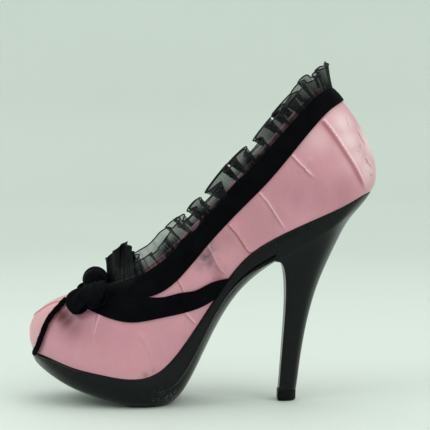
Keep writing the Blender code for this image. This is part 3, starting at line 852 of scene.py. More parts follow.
def satin_finish(colours):
    """Pink satin: sheen, soft puckers, toe panel tint, smears, stains, painted shade and highlights, and
    painted shade lines along the tucks.
    """
    finish, tree, shader = start_finish("pink satin")
    cloth = cloth_map(tree)
    spot = object_map(tree)
    clouds = noise(tree, spot, 38.0, 3.0, 0.55)
    streaks = noise(tree, stretched(tree, cloth, (700.0, 90.0, 1.0)), 1.0)
    ragged = remap(tree, noise(tree, spot, 240.0, 4.0, 0.55), 0.24, 0.60, 0.15, 1.0)
    blotched = remap(tree, noise(tree, spot, 260.0, 3.0), 0.3, 0.6)
    rubbed = remap(tree, noise(tree, stretched(tree, spot, (1.0, 1.0, 0.35)), 900.0, 3.0, 0.6), 0.56, 0.66)
    # Painted shade and painted highlights are layered in with the smears, stains and specks of wear
    colour = coat(
        tree, opaque(colours.satin, 0.93),
        (remap(tree, clouds, 0.3, 0.7), opaque(colours.satin, 1.05)),
        (mark(tree, "toe_panel"), opaque(colours.toe_panel)),
        (remap(tree, streaks, 0.35, 0.75, 0.0, 0.16), opaque(colours.satin, 1.25)),
        (mark(tree, "grime"), opaque(colours.satin_shade)),
        (mark(tree, "pale"), opaque(colours.highlight_satin)),
        (product(tree, mark(tree, "smear"), ragged), opaque(colours.dye_smear)),
        (product(tree, mark(tree, "stain"), blotched), opaque(colours.stain)),
        (product(tree, mark(tree, "specks"), rubbed), opaque(colours.dye_smear)),
        (mark(tree, "tuck"), opaque(colours.satin_shadow)),
        (mark(tree, "crest"), opaque(colours.highlight_satin, 1.2)))
    threads = use_group(tree, "Woven threads", {"Cloth": stretched(tree, cloth, (1.0, 0.16, 1.0)),
                                                "Threads": 4200.0})
    puckers = noise(tree, stretched(tree, cloth, (260.0, 60.0, 1.0)), 1.0, 3.0, 0.6)
    slack = noise(tree, spot, 95.0)
    height = weigh(tree, puckers, 0.45, product(tree, threads["Height"], 0.05))
    height = weigh(tree, slack, 1.6, height)
    gloss = remap(tree, calculate(tree, "ADD", clouds, puckers), 0.6, 1.4, 0.28, 0.42)
    # Painted shade also takes most of the satin's reflection away where it lies
    shaded_specular = remap(tree, mark(tree, "grime"), 0.0, 1.0, 0.52, 0.10)
    settle(tree, shader, colour, gloss, height, 0.42, 0.0005, Specular_IOR_Level=shaded_specular,
           Sheen_Weight=0.06, Sheen_Roughness=0.35, Sheen_Tint=(1.0, 0.82, 0.85, 1.0))
    return finish


def lining_finish(colours):
    """Black woven lining."""
    finish, tree, shader = start_finish("black lining")
    threads = use_group(tree, "Woven threads", {"Cloth": cloth_map(tree), "Threads": 1900.0})
    clouds = noise(tree, object_map(tree), 60.0, 3.0)
    tone = weigh(tree, threads["Height"], 0.5, product(tree, clouds, 0.5))
    colour = coat(tree, opaque(colours.lining, 0.7), (tone, opaque(colours.lining, 1.5)))
    settle(tree, shader, colour, remap(tree, clouds, 0.3, 0.7, 0.62, 0.8), threads["Height"], 0.25, 0.0002,
           Specular_IOR_Level=0.3)
    return finish


def sock_finish(colours):
    """Black covered insole, fine grained and unevenly rubbed."""
    finish, tree, shader = start_finish("black sock")
    spot = object_map(tree)
    grain = add_node(tree, "ShaderNodeTexVoronoi", {"Vector": spot, "Scale": 900.0}).outputs["Distance"]
    worn = use_group(tree, "Handling wear", {"Place": spot, "Scratch scale": 40.0})
    colour = coat(tree, opaque(colours.lining, 0.9), (worn["Smudges"], opaque(colours.lining, 2.1)))
    settle(tree, shader, colour, remap(tree, worn["Smudges"], 0.0, 1.0, 0.5, 0.66), grain, 0.3, 0.0002,
           Specular_IOR_Level=0.35)
    return finish


def velvet_finish(colours):
    """Black velvet of band, straps, piping and bow."""
    finish, tree, shader = start_finish("black velvet")
    pile = use_group(tree, "Soft pile", {"Place": object_map(tree)})
    colour = coat(tree, opaque(colours.velvet, 0.55), (pile["Shade"], opaque(colours.velvet, 1.7)))
    rough = remap(tree, pile["Shade"], 0.0, 1.0, 0.95, 0.78)
    settle(tree, shader, colour, rough, pile["Height"], 0.55, 0.0005, Specular_IOR_Level=0.04,
           Sheen_Weight=0.045, Sheen_Roughness=0.28, Sheen_Tint=(0.72, 0.80, 1.0, 1.0))
    return finish


def organza_finish(colours):
    """Sheer black organza: crossing threads with open squares between them, darker where layers bunch."""
    finish, tree, shader = start_finish("black organza")
    cloth = cloth_map(tree)
    bunched = mark(tree, "bunched")
    threads = use_group(tree, "Woven threads", {"Cloth": cloth, "Threads": 2000.0, "Waver": 0.05})
    drift = noise(tree, stretched(tree, cloth, (160.0, 60.0, 1.0)), 1.0)
    gathers = noise(tree, stretched(tree, cloth, (420.0, 12.0, 1.0)), 1.0)
    cover = weigh(tree, threads["Cover"], 0.05, remap(tree, drift, 0.3, 0.7, 0.38, 0.48))
    cover = weigh(tree, bunched, remap(tree, gathers, 0.3, 0.65, 0.32, 0.52), cover)
    colour = coat(tree, opaque(colours.organza, 0.7),
                  (threads["Height"], opaque(colours.organza, 1.6)),
                  (remap(tree, bunched, 0.3, 1.3), opaque(colours.organza, 0.2)))
    settle(tree, shader, colour, remap(tree, drift, 0.3, 0.7, 0.42, 0.6), threads["Height"], 0.2, 0.0001,
           Alpha=cover, Specular_IOR_Level=0.07)
    return finish


def hem_finish(colours):
    """Rolled black thread along the frill's edge."""
    finish, tree, shader = start_finish("black hem thread")
    wound = stretched(tree, cloth_map(tree), (260.0, 40.0, 1.0))
    twist = add_node(tree, "ShaderNodeTexWave", {"Vector": wound, "Scale": 1.0, "Distortion": 1.0},
                     bands_direction="DIAGONAL").outputs["Fac"]
    colour = coat(tree, opaque(colours.velvet, 0.6), (twist, opaque(colours.velvet, 1.6)))
    settle(tree, shader, colour, remap(tree, twist, 0.0, 1.0, 0.75, 0.6), twist, 0.4, 0.0002,
           Specular_IOR_Level=0.3)
    return finish


def gloss_finish(colours):
    """Glossy black cover of platform and heel: scuffs, a rubbed tread and painted shade in the groove where
    marked.
    """
    finish, tree, shader = start_finish("glossy black cover")
    spot = object_map(tree)
    # The groove mark paints shade into the groove: it darkens the colour and takes the reflection away
    groove = mark(tree, "groove")
    worn = use_group(tree, "Handling wear", {"Place": spot})
    chips = remap(tree, noise(tree, stretched(tree, spot, (1.0, 1.0, 1.7)), 520.0, 4.0, 0.7), 0.55, 0.62)
    scuff = product(tree, mark(tree, "scuff"), chips)
    grit = noise(tree, spot, 1500.0, 3.0, 0.6)
    dust = product(tree, product(tree, mark(tree, "tread"), remap(tree, grit, 0.35, 0.75)), 0.6)
    colour = coat(
        tree, opaque(colours.gloss, 0.85),
        (worn["Smudges"], opaque(colours.gloss, 1.2)),
        (product(tree, worn["Scratches"], 0.10), opaque(colours.scuff, 0.5)),
        (scuff, opaque(colours.scuff)),
        (dust, opaque(colours.tread_dust)),
        (groove, opaque(colours.gloss, 0.1)))
    rough = remap(tree, worn["Smudges"], 0.0, 1.0, 0.20, 0.30)
    rough = weigh(tree, calculate(tree, "MAXIMUM", scuff, mark(tree, "tread")), 0.42, rough)
    height = weigh(tree, scuff, -1.2, product(tree, grit, 0.12))
    settle(tree, shader, colour, rough, height, 0.25, 0.0002,
           Specular_IOR_Level=remap(tree, groove, 0.0, 0.8, 0.16, 0.0))
    return finish


def tip_finish(colours):
    """Matt black rubber of the heel tip."""
    finish, tree, shader = start_finish("black rubber tip")
    spot = object_map(tree)
    worn = use_group(tree, "Handling wear", {"Place": spot, "Scratch scale": 140.0})
    grit = noise(tree, spot, 2600.0, 3.0, 0.6)
    colour = coat(tree, opaque(colours.gloss, 0.5),
                  (worn["Smudges"], opaque(colours.gloss, 0.9)),
                  (product(tree, worn["Scratches"], 0.2), opaque(colours.scuff, 0.6)))
    settle(tree, shader, colour, remap(tree, grit, 0.3, 0.7, 0.5, 0.65), grit, 0.35, 0.0002,
           Specular_IOR_Level=0.12)
    return finish


def floor_finish(colours):
    """Pale plain paper of the stage."""
    finish, tree, shader = start_finish("pale paper")
    clouds = noise(tree, object_map(tree), 1.4)
    colour = coat(tree, opaque(colours.paper, 0.985),
                  (remap(tree, clouds, 0.3, 0.7), opaque(colours.paper, 1.015)))
    settle(tree, shader, colour, 0.6, Specular_IOR_Level=0.25)
    return finish


def finish_once(name, make, colours):
    """Finish of this name, made when it is first asked for."""
    return bpy.data.materials.get(name) or make(colours)


def black_velvet(colours):
    """Velvet shared by band, straps, piping and bow."""
    return finish_once("black velvet", velvet_finish, colours)


def glossy_cover(colours):
    """Cover shared by platform and heel."""
    return finish_once("glossy black cover", gloss_finish, colours)


def upper_places(along, across):
    """Ring place, fraction up and step round the wall of the upper for grid shares."""
    place = even_ring(along, lambda ring: skin(ring, UPPER_EVEN))
    step = across * UPPER_STEPS[-1]
    return place, np.interp(step, UPPER_STEPS, (0.0, 1.0, 1.0, 0.0, 0.0)), step


def upper_shape(wall):
    """Wall of the upper: creased satin outside, rolled topline, lining inside."""
    def shape(along, across):
        place, up, step = upper_places(along, across)
        topline, roll_end, foot, home = UPPER_STEPS[1:]
        turn = math.pi * part_way(topline, roll_end, step)
        depth = 0.5 * wall * (1.0 - np.cos(turn))
        depth = np.where(step > foot, wall * part_way(home, foot, step), depth)
        crown = 0.5 * wall * np.sin(turn)
        ground = skin(place, up)
        lift = crease_fields(place, up, ground)[0] * (step <= topline)
        rise = unit(skin(place, 1.0) - skin(place, 0.98))
        return ground + skin_normal(place, up) * (lift - depth)[:, None] + rise * crown[:, None]
    return shape


def upper_marks(along, across):
    """Marks on the satin: wear, painted shade, painted highlights and the toe panel."""
    place, up, step = upper_places(along, across)
    ground = skin(place, up)
    outside = step <= UPPER_STEPS[1]
    dark, bright = crease_fields(place, up, ground)[1:]
    # The tuck lines and shade spots are painted shade, the crests and pale spots painted highlights; at the
    # heel rubs the tuck lines are worn streaks
    return {
        "tuck": dark * outside,
        "crest": bright * outside,
        "smear": spot_field(ground, SMEARS) * outside,
        "stain": spot_field(ground, STAINS) * outside,
        "specks": spot_field(ground, SPECKS) * outside,
        "grime": spot_field(ground, PAINTED_SHADE) * outside,
        "pale": spot_field(ground, PAINTED_HIGHLIGHTS) * outside,
        "toe_panel": toe_panel_field(place, up) * outside,
    }


def upper_cloth(along, across):
    """0 for satin outside and just over the roll, 1 for lining."""
    step = across * UPPER_STEPS[-1]
    return int(step > UPPER_STEPS[2] + 1.0)


def band_shape(thickness, crown):
    """Collar band round the topline, with one lapped join on the outer side."""
    def shape(along, across):
        place = even_ring(along, top_at)
        side, height = ribbon_section(across, thickness, crown)
        low, high = band_at(place).T
        for middle, half_length, reach in BAND_REACHES:
            high = high + reach * np.exp(-(np.abs(place - middle) / half_length) ** 4)
        high = np.minimum(high, BAND_HIGHEST)
        up = between(low, high, 0.5 * (side + 1.0))
        lap_place, slant, lap_low, lap_height = BAND_LAP
        lap = lap_place + slant * (up - lap_low) / lap_height
        over = ease(0.0, 0.05, place - lap) * (1.0 - ease(0.05, 0.75, place - lap))
        height = height + 0.75 * thickness * over * (height > 0.3 * thickness)
        return off_skin(place, up, GAP * MM + height)
    return shape


def strap_shape(thickness, crown, inner):
    """Vamp strap from bow to waist."""
    def shape(along, across):
        low_place, low_up, high_place, high_up = row_at(STRAP, along).T
        side, height = ribbon_section(across, thickness, crown)
        share = 0.5 * (side + 1.0)
        place = between(low_place, high_place, share)
        up = between(low_up, high_up, share)
        return off_skin(on_side(place, inner), up, GAP * MM + height)
    return shape


def piping_shape(radius, inner):
    """Round velvet piping from the toe tip up to the bow."""
    def shape(along, across):
        ahead = np.minimum(along + 0.004, 1.0)
        behind = np.maximum(along - 0.004, 0.0)
        ground, out, run = path_frame(PIPING, along, ahead, behind, inner)
        sideways = unit(np.cross(run, out))
        size = radius * (1.0 + 0.05 * np.sin(37.0 * along) + 0.03 * np.sin(91.0 * along))
        middle = ground + out * (GAP * MM + radius)
        return middle + ring_round(out, sideways, 2.0 * math.pi * across) * size[:, None]
    return shape


def loop_shape(name, inner):
    """Ribbon loop of the bow: out along the top, round the end and back underneath."""
    neck, broad, puff, run = BOW_LOOPS[name]

    def shape(along, across):
        angle = 2.0 * math.pi * along
        reach = 0.5 - 0.5 * np.cos(angle)
        ground, out, towards = path_frame(run, reach, reach + 0.01, reach - 0.01, inner)
        sideways = np.cross(out, towards) * (1.0 if inner else -1.0)
        side = 2.0 * across - 1.0
        along_loop = 2.0 * reach - 1.0
        closing = np.where(along_loop < 0.0, neck, 0.88)
        half = broad * np.sqrt(1.0 - closing * along_loop ** 2) * (1.0 + 0.08 * np.sin(angle))
        swell = np.sin(angle)
        swell = np.where(swell > 0.0, np.abs(swell) ** 0.8, -np.abs(swell) ** 0.5)
        height = 2.0 + 0.5 * puff * (1.0 + swell * (0.45 + 0.55 * reach))
        gathers = np.cos(3.0 * math.pi * side) * (1.0 - reach) ** 1.5
        height = height + np.where(swell > 0.0, 0.55 * gathers - 0.9 * side ** 2 + 1.1 * side ** 6, 0.0)
        bulge = 0.9 * (1.0 - side ** 2) * ease(0.75, 1.0, reach)
        lobe = out * height[:, None] + sideways * (side * half)[:, None] + towards * bulge[:, None]
        return ground + lobe * MM
    return shape


def knot_shape(along, across):
    """Rolled knot of the bow, with the ribbon's folds running round it."""
    x, y, z, radius, half = KNOT
    angle = 2.0 * math.pi * along
    side = 2.0 * across - 1.0
    ends = np.maximum(1.0 - np.abs(side) ** 3.2, 0.0) ** 0.5
    folds = 0.55 * np.cos(7.5 * side + 0.9 * np.sin(angle)) * (1.0 - side ** 4)
    size = (radius - 0.5) * ends + folds * ends
    flat = np.where(np.sin(angle) < 0.0, 0.86, 1.0)
    return np.column_stack([x + size * np.cos(angle) * 0.96,
                            y + half * side + 0.5 * np.sin(angle),
                            z + size * np.sin(angle) * flat]) * MM


def slack_run(place):
    """1 where the inner side of the frill hangs smooth, 0 where it is gathered into folds."""
    place = place % RING_COUNT
    return ease(18.2, 18.9, place) * (1.0 - ease(20.6, 21.2, place))


def frill_frame(along):
    """Gathers at shares of the way round: count of turns, hem height, lean, shift along, foot, three
    directions (run, rise, out) and ring places away from the heel.
    """
    rows = np.array(FRILL)
    count = len(rows)
    drift = RING_COUNT / count
    steady = spline(np.column_stack([rows[:, 0] - np.arange(count) * drift, rows[:, 1:]]), True)
    turn = along * count
    step = 0.01
    loose, height, lean = steady(turn).T
    later = steady(turn + step)[:, 0]
    place = loose + turn * drift
    spread = (later - loose + step * drift) / step
    run = top_at(place + step) - top_at(place - step)
    half_wave = spread * np.linalg.norm(run, axis=1) / (2.0 * step)
    run = unit(run)
    from_heel = np.minimum(place % RING_COUNT, -place % RING_COUNT)
    vamp = ease(6.4, 7.0, from_heel)
    throat = ease(8.8, 10.0, from_heel)
    overlap = 0.50 + 0.22 * np.sin(1.9 * turn + 0.6) * np.cos(0.7 * turn)
    overlap = overlap * (1.0 - 0.3 * vamp) * (1.0 - 0.5 * throat) * (1.0 - 0.9 * slack_run(place))
    shift = overlap * half_wave * np.sin(2.0 * math.pi * turn)
    start = band_at(place)[:, 1] - FRILL_TUCKED
    foot = off_skin(place, start, np.full(len(place), FRILL_OFF * MM))
    rise = unit(skin(place, start + 0.02) - skin(place, start))
    rise[:, 2] += 1.3 + 3.0 * ease(8.5, 12.0, from_heel)
    rise = squared_to(run, rise)
    return turn, height * MM, lean * MM, shift, foot, run, rise, np.cross(rise, run), from_heel


def frill_shape(along, across):
    """Gathered organza standing round the collar."""
    turn, height, lean, shift, foot, run, rise, out = frill_frame(along)[:8]
    pleat = -0.4 * MM * np.cos(math.pi * turn) * (1.0 - across)
    outward = lean * across ** 1.3 + pleat
    climb = height * across * (1.0 - 0.10 * across * ease(0.0, 4.0 * MM, lean))
    along_collar = shift * (0.6 + 0.4 * across)
    return foot + rise * climb[:, None] + out * outward[:, None] + run * along_collar[:, None]


def frill_marks(along, across):
    """How many layers lie together: at the sewn edge, in folds, round the heel, doubled at the throat."""
    gathered = frill_frame(along)
    turn = gathered[0]
    from_heel = gathered[-1]
    gathers = 0.80 + 0.50 * np.sin(1.45 * turn + 0.8) + 0.15 * np.sin(23.0 * turn)
    sewn = (1.0 - ease(0.05, 0.95, across)) * gathers
    uneven = (0.65 + 0.35 * np.sin(2.4 * np.floor(turn) + 0.7)) * (1.0 - 0.6 * ease(5.8, 7.0, from_heel))
    folded = uneven * np.exp(-((turn % 1.0 - 0.5) / 0.22) ** 2)
    heel_end = 0.90 * (1.0 - ease(2.4, 5.4, from_heel)) * (1.0 - 0.55 * across)
    throat = ease(9.2, 9.8, from_heel) * (1.0 - ease(11.2, 12.4, from_heel))
    throat = throat * (1.05 + 0.6 * ease(0.25, 0.65, across))
    doubled = np.maximum(throat, 1.05 * ease(10.6, 11.4, from_heel))
    return {"bunched": np.maximum(np.maximum(sewn, folded), np.maximum(heel_end, doubled))}


def hem_shape(radius):
    """Thin rolled edge along the top of the frill."""
    def shape(along, across):
        top = np.ones(len(along))
        middle = frill_shape(along, top)
        run = unit(frill_shape(along + 0.0004, top) - frill_shape(along - 0.0004, top))
        rise = unit(middle - frill_shape(along, top * 0.94))
        rise = squared_to(run, rise)
        sideways = np.cross(run, rise)
        return middle + ring_round(rise, sideways, 2.0 * math.pi * across) * radius
    return shape


def sole_station(along):
    """Ring place along the sole, from heel breast to toe tip."""
    return np.interp(along, (0.0, 0.52, 0.8, 1.0), (BREAST, 10.5, 13.0, LAST_PLACE))


def sole_step(across):
    """Where a row lies round the sole: 0 to 1 outer wall, to 2 underside, to 3 inner wall, to 4 top."""
    return np.interp(across, (0.0, 0.2, 0.76, 0.96, 1.0), (0.0, 1.0, 2.0, 3.0, 4.0))


def wall_drop(share):
    """Part of the way down the sole's wall for shares of its rows."""
    return 0.5 - 0.5 * np.cos(math.pi * np.clip(share, 0.0, 1.0))


def groove_field(drop, station):
    """1 in the groove along the arch, fading out towards the tread."""
    return np.exp(-((drop - GROOVE_DROP) / GROOVE_HALF) ** 2) * (1.0 - ease(*GROOVE_FADE, station))


def sole_shape(along, across):
    """Platform and waist: side walls, a fine cut line, the rounded underside and a flat tread."""
    station = sole_station(along)
    edge, keel, flat, power, cut = sole_at(station - BREAST).T
    edge = edge * MM
    keel = np.maximum(keel, 0.0) * MM
    flat = np.clip(flat, 0.0, 0.6)
    step = sole_step(across)
    arch = ease(4.0, 4.7, station) * (1.0 - ease(6.8, 8.2, station))
    lean = UNDERCUT * arch
    outer_rim = sole_edge_at(station)
    inner_rim = sole_edge_at(RING_COUNT - station)
    outer_way = plan_outward(station)
    inner_way = plan_outward(RING_COUNT - station)

    def wall(rim, way, share):
        drop = wall_drop(share)
        to_rim = part_way(WALL_BULGE, 0.0, drop)
        to_foot = part_way(WALL_BULGE, 1.0, drop)
        below = part_way(GROOVE_DROP, 1.0, drop)
        cut_line = np.maximum(cut, 0.0) * np.exp(-((1.0 - drop) / 0.012) ** 2)
        offset = 1.0 - 0.8 * to_rim ** 6 - to_foot ** 2 - cut_line
        offset = offset - GROOVE_DEPTH * groove_field(drop, station) - lean * below ** 1.5
        point = rim + way * offset[:, None] * MM
        point[:, 2] = between(rim[:, 2], edge, drop)
        return point

    def wall_foot(rim, way):
        point = rim - way * lean[:, None] * MM
        point[:, 2] = edge
        return point

    outer_foot = wall_foot(outer_rim, outer_way)
    inner_foot = wall_foot(inner_rim, inner_way)
    part = np.sin(math.pi * (part_way(1.0, 2.0, step) - 0.5))
    under = between(outer_foot, inner_foot, 0.5 * (1.0 + part)[:, None])
    turn = part_way(flat, 1.0, np.abs(part))
    under[:, 2] = np.maximum(between(keel, edge, turn ** np.maximum(power, 1.5)), 0.0)
    seat = between(inner_rim, outer_rim, part_way(3.0, 4.0, step)[:, None])
    points = np.where((step <= 1.0)[:, None], wall(outer_rim, outer_way, step), under)
    points = np.where((step >= 2.0)[:, None], wall(inner_rim, inner_way, 3.0 - step), points)
    points = np.where((step > 3.0)[:, None], seat, points)
    return np.where((step == 4.0)[:, None], wall(outer_rim, outer_way, 0.0 * step), points)


def sole_marks(along, across):
    """Scuffs on the outer rear edge of the platform, the rubbed tread and the painted shade in the groove
    along the arch.
    """
    x, y, height = sole_shape(along, across).T / MM
    middle_x, reach_x, middle_height, reach_height = SCUFF
    scuff = np.exp(-((x - middle_x) / reach_x) ** 2 - ((height - middle_height) / reach_height) ** 2)
    step = sole_step(across)
    drop = wall_drop(np.where(step < 1.5, step, 3.0 - step))
    on_wall = (step <= 1.0) | ((step >= 2.0) & (step <= 3.0))
    return {
        "scuff": scuff * (y < SCUFF_SIDE),
        "tread": 1.0 - ease(*TREAD_HEIGHTS, height),
        "groove": groove_field(drop, sole_station(along)) * on_wall,
    }


def heel_shape(levels, straight):
    """Heel outline at each level: round the back from outer to inner breast, then across the front."""
    table = np.array(levels)
    shift = np.array([MIDDLE_X, MIDDLE_Y, 0.0]) * MM
    breast = sole_edge_at(float(BREAST))
    back = sole_edge_at(0.0)
    widest = FEATHER[PLACES.index("seat")][1] * MM
    breast_wide = -(breast + shift)[1] / widest
    inner_breast_wide = (sole_edge_at(float(RING_COUNT - BREAST)) + shift)[1] / widest

    def shape(along, across):
        level = across * (len(table) - 1.0)
        if straight:
            rows = np.column_stack([np.interp(level, np.arange(len(table)), column) for column in table.T])
        else:
            rows = spline(table, False)(level)
        front_x, front_z, back_x, back_z, half, dip = rows.T
        side = 2.0 * part_way(0.0, HEEL_ROUND, along) - 1.0
        around = BREAST * np.abs(side) ** 1.3
        outline = sole_edge_at(around)
        inner_outline = sole_edge_at(RING_COUNT - around)
        share = (outline[:, 0] - breast[0]) / (back[0] - breast[0])
        tilt = (outline[:, 2] - breast[2]) / (back[2] - breast[2])
        wide = -(outline + shift)[:, 1] / widest
        stem = 1.0 if straight else ease(4.0, 8.0, level)
        inner_wide = (inner_outline + shift)[:, 1] / widest
        wide = np.where(side > 0.0, between(inner_wide, wide, stem), wide)
        inner_breast = between(inner_breast_wide, breast_wide, stem)
        x = between(front_x, back_x, share)
        y = half * wide * np.sign(side)
        z = between(front_z, back_z, tilt)
        across_front = 1.0 - 2.0 * part_way(HEEL_ROUND, 1.0, along)
        front = along > HEEL_ROUND
        hollow = HEEL_HOLLOW * half * (1.0 - across_front ** 2) * ease(3.5, 6.0, level) * (not straight)
        x = np.where(front, front_x + hollow, x)
        front_wide = np.where(across_front > 0.0, inner_breast, breast_wide)
        y = np.where(front, across_front * half * front_wide, y)
        z = np.where(front, front_z - dip * (1.0 - across_front ** 2), z)
        return np.column_stack([x - MIDDLE_X, y - MIDDLE_Y, np.maximum(z, 0.0)]) * MM
    return shape


def heel_marks(along, across):
    """The heel shares the sole's finish and has none of its marks."""
    return {name: np.zeros(len(along)) for name in ("scuff", "tread", "groove")}


def insole_shape(thickness, inset):
    """Covered board with soft edges, lying on the sole and the heel seat."""
    def shape(along, across):
        station = np.interp(along, (0.0, 0.12, 0.85, 1.0), (0.08, 1.5, 12.8, LAST_PLACE - 0.08))
        side, height = ribbon_section(across, thickness, 0.0)
        fine = sole_edge_at(np.linspace(0.0, LAST_PLACE, 400))
        rims = []
        for place in (station, RING_COUNT - station):
            rim = sole_edge_at(place) - plan_outward(place) * inset
            rim[:, 2] = np.interp(rim[:, 0], fine[::-1, 0], fine[::-1, 2])
            rims.append(rim)
        point = between(rims[0], rims[1], 0.5 * (1.0 + side)[:, None])
        point[:, 2] += GAP * MM + height
        return point
    return shape


def number_value(label, note, default, **kind):
    """Number property."""
    return bpy.props.FloatProperty(name=label, description=note, default=default, **kind)


def length_value(label, note, default):
    """Length property in metres."""
    return number_value(label, note, default, min=0.0, unit="LENGTH", precision=5)


def power_value(label, note, default):
    """Power property of a light."""
    return number_value(label, note, default, min=0.0, unit="POWER")


def colour_value(label, note, default):
    """Colour property, linear."""
    return bpy.props.FloatVectorProperty(name=label, description=note, default=default, min=0.0, max=1.0,
                                         size=3, subtype="COLOR")


class PumpSizes(bpy.types.PropertyGroup):
    """Sizes of the pieces that a user may change."""

    upper_wall: length_value("Upper wall", "Thickness of satin, stiffening and lining together", 0.0018)
    band_thickness: length_value("Band thickness", "Thickness of the velvet collar band", 0.0010)
    band_crown: length_value("Band crown", "How far the middle of the band stands up", 0.0003)
    strap_thickness: length_value("Strap thickness", "Thickness of the vamp straps", 0.0010)
    piping_radius: length_value("Piping radius", "Radius of the toe piping", 0.0017)
    bow_ribbon: length_value("Bow ribbon", "Thickness of the ribbon in the bow", 0.0009)
    hem_radius: length_value("Hem radius", "Radius of the rolled edge of the frill", 0.00042)
    frill_width: length_value("Frill width", "Width of the organza strip before it was gathered", 0.0130)
    frill_length: length_value("Frill length", "Length of the organza strip before it was gathered", 0.61)
    insole_thickness: length_value("Insole thickness", "Thickness of the covered insole", 0.0018)
    insole_inset: length_value("Insole inset", "How far the insole stops short of the feather line", 0.0025)


class PumpColours(bpy.types.PropertyGroup):
    """Colours of the finishes."""

    satin: colour_value("Satin", "Pink satin of the upper", (0.594, 0.268, 0.328))
    toe_panel: colour_value("Toe panel", "Satin in front of the toe piping", (0.640, 0.325, 0.350))
    # Painted highlight colour of the counter spots and of the crests of the creases
    highlight_satin: colour_value("Highlight satin", "Paler satin on the counter", (0.840, 0.630, 0.650))
    # Painted shade in the lines along the creases; at the heel rubs it stands for worn streaks
    satin_shadow: colour_value("Satin shadow", "Satin in the lines along the tucks", (0.350, 0.068, 0.088))
    # Painted shade under the bow and the straps and across the quarter
    satin_shade: colour_value("Satin shade", "Soiled satin under bow and strap", (0.100, 0.020, 0.026))
    dye_smear: colour_value("Dye smear", "Blue-grey dye rubbed onto the satin", (0.060, 0.056, 0.076))
    stain: colour_value("Stain", "Brown stain at the feather line", (0.230, 0.135, 0.090))
    lining: colour_value("Lining", "Black lining and insole", (0.012, 0.013, 0.014))
    velvet: colour_value("Velvet", "Black velvet of band, straps and bow", (0.0016, 0.0021, 0.0029))
    organza: colour_value("Organza", "Black organza of the frill", (0.006, 0.008, 0.008))
    gloss: colour_value("Glossy cover", "Black cover of platform and heel", (0.0030, 0.0044, 0.0042))
    scuff: colour_value("Scuff", "Grey of scuffed and scratched cover", (0.150, 0.160, 0.150))
    tread_dust: colour_value("Tread dust", "Grey dust on the tread", (0.060, 0.062, 0.058))
    paper: colour_value("Paper", "Pale paper under and behind the shoe", (0.690, 0.745, 0.700))


class PumpStage(bpy.types.PropertyGroup):
    """Camera, lights and paper."""

    target: bpy.props.FloatVectorProperty(
        name="Camera target", description="Point in the middle of the picture",
        default=(0.00792, 0.0002, 0.1163), size=3, subtype="TRANSLATION")
    distance: length_value("Camera distance", "From the camera to its target", 0.800)
    elevation: number_value("Camera elevation", "Angle above the level", math.radians(2.0), subtype="ANGLE")
    lens: number_value("Lens", "Focal length in millimetres", 106.31, min=1.0)
    room_light: number_value("Room light", "Strength of the even light all round", 0.96, min=0.0)
    key_power: power_value("Key light", "Power of the large light on the right", 6.0)
    fill_power: power_value("Fill light", "Power of the fill light on the left", 6.0)
    top_power: power_value("Top light", "Power of the light overhead", 3.0)


class PUMP_OT_upper(bpy.types.Operator):
    """Make the satin upper with its creases, rolled topline and lining"""

    bl_idname = "pump.make_upper"
    bl_label = "Upper"

    def execute(self, context):
        colours = context.scene.pump_colours
        shape = upper_shape(context.scene.pump_sizes.upper_wall)
        body = solid_body(UPPER_COLUMNS, int(UPPER_STEPS[-1]), shape, join_columns=True, join_rows=True,
                          cloth=(0.44, 0.125), marks=upper_marks, finish_number=upper_cloth)
        finishes = [satin_finish(colours), lining_finish(colours)]
        finish_piece("satin_upper", body, finishes, ["upper"])
        return {"FINISHED"}


class PUMP_OT_collar_band(bpy.types.Operator):
    """Make the velvet band round the collar"""

    bl_idname = "pump.make_collar_band"
    bl_label = "Collar band"

    def execute(self, context):
        sizes = context.scene.pump_sizes
        velvet = black_velvet(context.scene.pump_colours)
        shape = band_shape(sizes.band_thickness, sizes.band_crown)
        body = solid_body(620, 24, shape, join_columns=True, join_rows=True, cloth=(0.42, 0.036))
        finish_piece("velvet_collar_band", body, [velvet], ["collar_band"])
        return {"FINISHED"}


class PUMP_OT_straps(bpy.types.Operator):
    """Make the two vamp straps"""

    bl_idname = "pump.make_straps"
    bl_label = "Vamp straps"

    def execute(self, context):
        sizes = context.scene.pump_sizes
        velvet = black_velvet(context.scene.pump_colours)
        for side, inner in SIDES:
            shape = strap_shape(sizes.strap_thickness, sizes.band_crown, inner)
            body = solid_body(170, 24, shape, join_rows=True, cloth=(0.11, 0.022))
            finish_piece("velvet_strap_" + side, body, [velvet], ["vamp_strap_" + side])
        return {"FINISHED"}


class PUMP_OT_piping(bpy.types.Operator):
    """Make the piping round the toe panel"""

    bl_idname = "pump.make_piping"
    bl_label = "Toe piping"

    def execute(self, context):
        radius = context.scene.pump_sizes.piping_radius
        velvet = black_velvet(context.scene.pump_colours)
        for side, inner in SIDES:
            body = solid_body(110, 14, piping_shape(radius, inner), join_rows=True, cloth=(0.05, 0.0094))
            finish_piece("velvet_piping_" + side, body, [velvet], ["toe_piping_" + side])
        return {"FINISHED"}


class PUMP_OT_bow(bpy.types.Operator):
    """Make the bow: a loop and a petal on each side, and the knot"""

    bl_idname = "pump.make_bow"
    bl_label = "Bow"

    def execute(self, context):
        velvet = black_velvet(context.scene.pump_colours)
        for name in BOW_LOOPS:
            for side, inner in SIDES:
                node = name + "_" + side
                body = sheet_body(96, 24, loop_shape(name, inner), join_columns=True, cloth=(0.06, 0.017))
                piece = finish_piece("velvet_" + node, body, [velvet], [node])
                thicken = piece.modifiers.new("ribbon thickness", "SOLIDIFY")
                thicken.thickness = context.scene.pump_sizes.bow_ribbon
                thicken.offset = 0.0
        body = solid_body(72, 60, knot_shape, join_columns=True, cloth=(0.045, 0.020))
        finish_piece("velvet_bow_knot", body, [velvet], ["bow_crest"])
        return {"FINISHED"}


